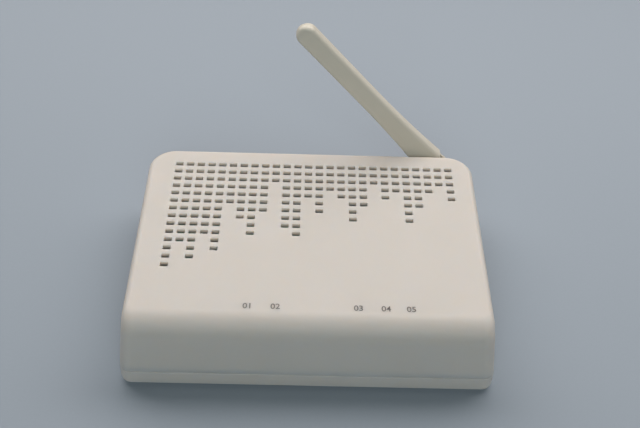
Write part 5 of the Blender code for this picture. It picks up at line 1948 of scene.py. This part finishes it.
@dataclass
class Legends(SubAssembly):
    """Plain numbers, printed over the status lamps and over the network ports."""

    lamp_centres: tuple[float, ...] = (-25.0 * MM, -13.7 * MM, 20.1 * MM, 31.3 * MM, 41.6 * MM)
    lamp_row: float = -47.3 * MM
    lamp_letter: float = 4.0 * MM
    port_row: float = 26.2 * MM
    port_letter: float = 3.4 * MM
    boldness: float = 0.03 * MM
    thickness: float = 0.012 * MM

    def build(self) -> None:
        """Builds all numbers and dresses them."""
        plan = self.plan
        for number, x in enumerate(self.lamp_centres, 1):
            place = Matrix.Translation((x, self.lamp_row, plan.top + self.thickness))
            self.print_number(f"legend_{number}", f"{number:02d}", self.lamp_letter, place)
        upright = Matrix.Rotation(math.pi, 4, "Z") @ Matrix.Rotation(QUARTER_TURN, 4, "X")
        for number, x in enumerate(plan.network_ports, 1):
            place = Matrix.Translation((x, plan.panel_outer + self.thickness, self.port_row)) @ upright
            self.print_number(f"port_legend_{number}", f"{number}", self.port_letter, place)

    def print_number(self, name: str, words: str, size: float, place: Matrix) -> None:
        """Prints one number.

        Args:
            name: Name of the piece.
            words: What is printed.
            size: Height of the letters' body.
            place: Middle of the number and how it is turned.
        """
        clear_selection()
        bpy.ops.object.text_add()
        text = bpy.context.object.data
        text.body = words
        text.size = size
        text.align_x = "CENTER"
        text.align_y = "CENTER"
        text.extrude = self.thickness
        text.offset = self.boldness
        bpy.ops.object.convert(target="MESH")
        Workpiece(name).moved(place).settle(Body.HOUSING, Slot.BUTTON, self.finishes.ink)


def dress_solids(finishes: Finishes) -> None:
    """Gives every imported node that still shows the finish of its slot.

    Args:
        finishes: All finishes.
    """
    slots = {row["node"]: Slot(row["material_slot"]) for row in frame["record"]["subparts"]}
    for name, item in frame["nodes"].items():
        if not item.hide_render:
            item.data.materials.clear()
            item.data.materials.append(finishes.of(slots[name]))
            LOG.info("%s keeps its solid, in %s", name, slots[name].value)


# Studio


@dataclass(frozen=True)
class FloorPaper(Finish):
    """Plain paper with short fibres."""

    roughness: float = 0.85
    fibre: float = 1.2 * MM
    fibre_detail: float = 3.0
    fibre_shade: float = 0.03
    fibre_roughness: float = 0.1

    def paint(self, graph: Graph) -> None:
        """Adds the fibres.

        Args:
            graph: Nodes of the material.
        """
        fibres = graph.noise(self.fibre, self.fibre_detail)
        dark, light = (shaded(self.colour, share) for share in (1 - self.fibre_shade, 1 + self.fibre_shade))
        graph.set("Base Color", graph.blend(fibres, dark, light))
        graph.set("Roughness", self.roughness + fibres * self.fibre_roughness)


@dataclass(frozen=True)
class SoftLamp:
    """An oval softbox that faces the modem."""

    name: str
    place: tuple[float, float, float]
    width: float
    height: float
    power: float
    colour: Colour

    def hang(self) -> None:
        """Adds the lamp to the scene."""
        clear_selection()
        bpy.ops.object.light_add(type="AREA", location=self.place)
        lamp = bpy.context.object
        lamp.name = self.name
        lamp.data.shape = "ELLIPSE"
        lamp.data.size = self.width
        lamp.data.size_y = self.height
        lamp.data.energy = self.power
        lamp.data.color = self.colour
        lamp.rotation_euler = (-Vector(self.place)).to_track_quat("-Z", "Y").to_euler()


@dataclass
class Studio:
    """Floor, light and camera."""

    lens: float = 58.231
    sensor: float = 36.0
    near_clip: float = 10.0 * MM
    camera_place: tuple[float, float, float] = (-3.872 * MM, -327.274 * MM, 350.863 * MM)
    heading: float = math.radians(1.380)
    dip: float = math.radians(43.100)
    roll: float = math.radians(2.339)
    floor_size: float = 8.0
    paper: FloorPaper = FloorPaper("floor_paper", (0.333, 0.38, 0.428))
    ambient: Colour = (0.02, 0.023, 0.025)
    key: SoftLamp = SoftLamp("key", (0.03, 0.315, 0.58), 1.9, 0.5, 7.25, (1.0, 0.95, 0.93))
    fill: SoftLamp = SoftLamp("fill", (0.0, -1.14, 0.8), 0.9, 0.9, 6.3, (0.89, 0.985, 1.0))

    def build(self) -> None:
        """Sets up the floor, the light and the camera."""
        self.lay_floor()
        self.hang_lights()
        self.stand_camera()

    def lay_floor(self) -> None:
        """Lays a plain pale floor."""
        clear_selection()
        bpy.ops.mesh.primitive_plane_add(size=self.floor_size)
        floor = bpy.context.object
        floor.name = "floor"
        floor.data.materials.append(self.paper.material())

    def hang_lights(self) -> None:
        """Hangs a wide softbox behind and a round one in front, in an even dim surround."""
        world = bpy.data.worlds.new("surround")
        world.use_nodes = True
        world.node_tree.nodes["Background"].inputs["Color"].default_value = (*self.ambient, 1)
        bpy.context.scene.world = world
        self.key.hang()
        self.fill.hang()

    def stand_camera(self) -> None:
        """Stands the camera where the photograph was taken from."""
        level_share = math.cos(self.dip)
        ahead = Vector((
            math.sin(self.heading) * level_share, math.cos(self.heading) * level_share, -math.sin(self.dip),
        ))
        level = ahead.cross(Vector((0, 0, 1))).normalized()
        upright = level.cross(ahead)
        right = math.cos(self.roll) * level + math.sin(self.roll) * upright
        above = right.cross(ahead)
        lens = bpy.data.cameras.new("camera")
        lens.lens = self.lens
        lens.sensor_width = self.sensor
        lens.clip_start = self.near_clip
        camera = bpy.data.objects.new("camera", lens)
        bpy.context.scene.collection.objects.link(camera)
        turn = Matrix((right, above, -ahead)).transposed().to_4x4()
        camera.matrix_world = Matrix.Translation(self.camera_place) @ turn
        bpy.context.scene.camera = camera


def main() -> None:
    """Builds every sub-assembly, then the studio."""
    logging.basicConfig(level=logging.INFO, format="%(name)s: %(message)s")
    bpy.context.scene.view_settings.view_transform = "Standard"
    plan, finishes = HousingPlan(), Finishes()
    for kind in (Cover, Tray, RearPanel, Antenna, Legends):
        kind(plan, finishes).build()
    dress_solids(finishes)
    Studio().build()


if __name__ == "__main__":
    main()
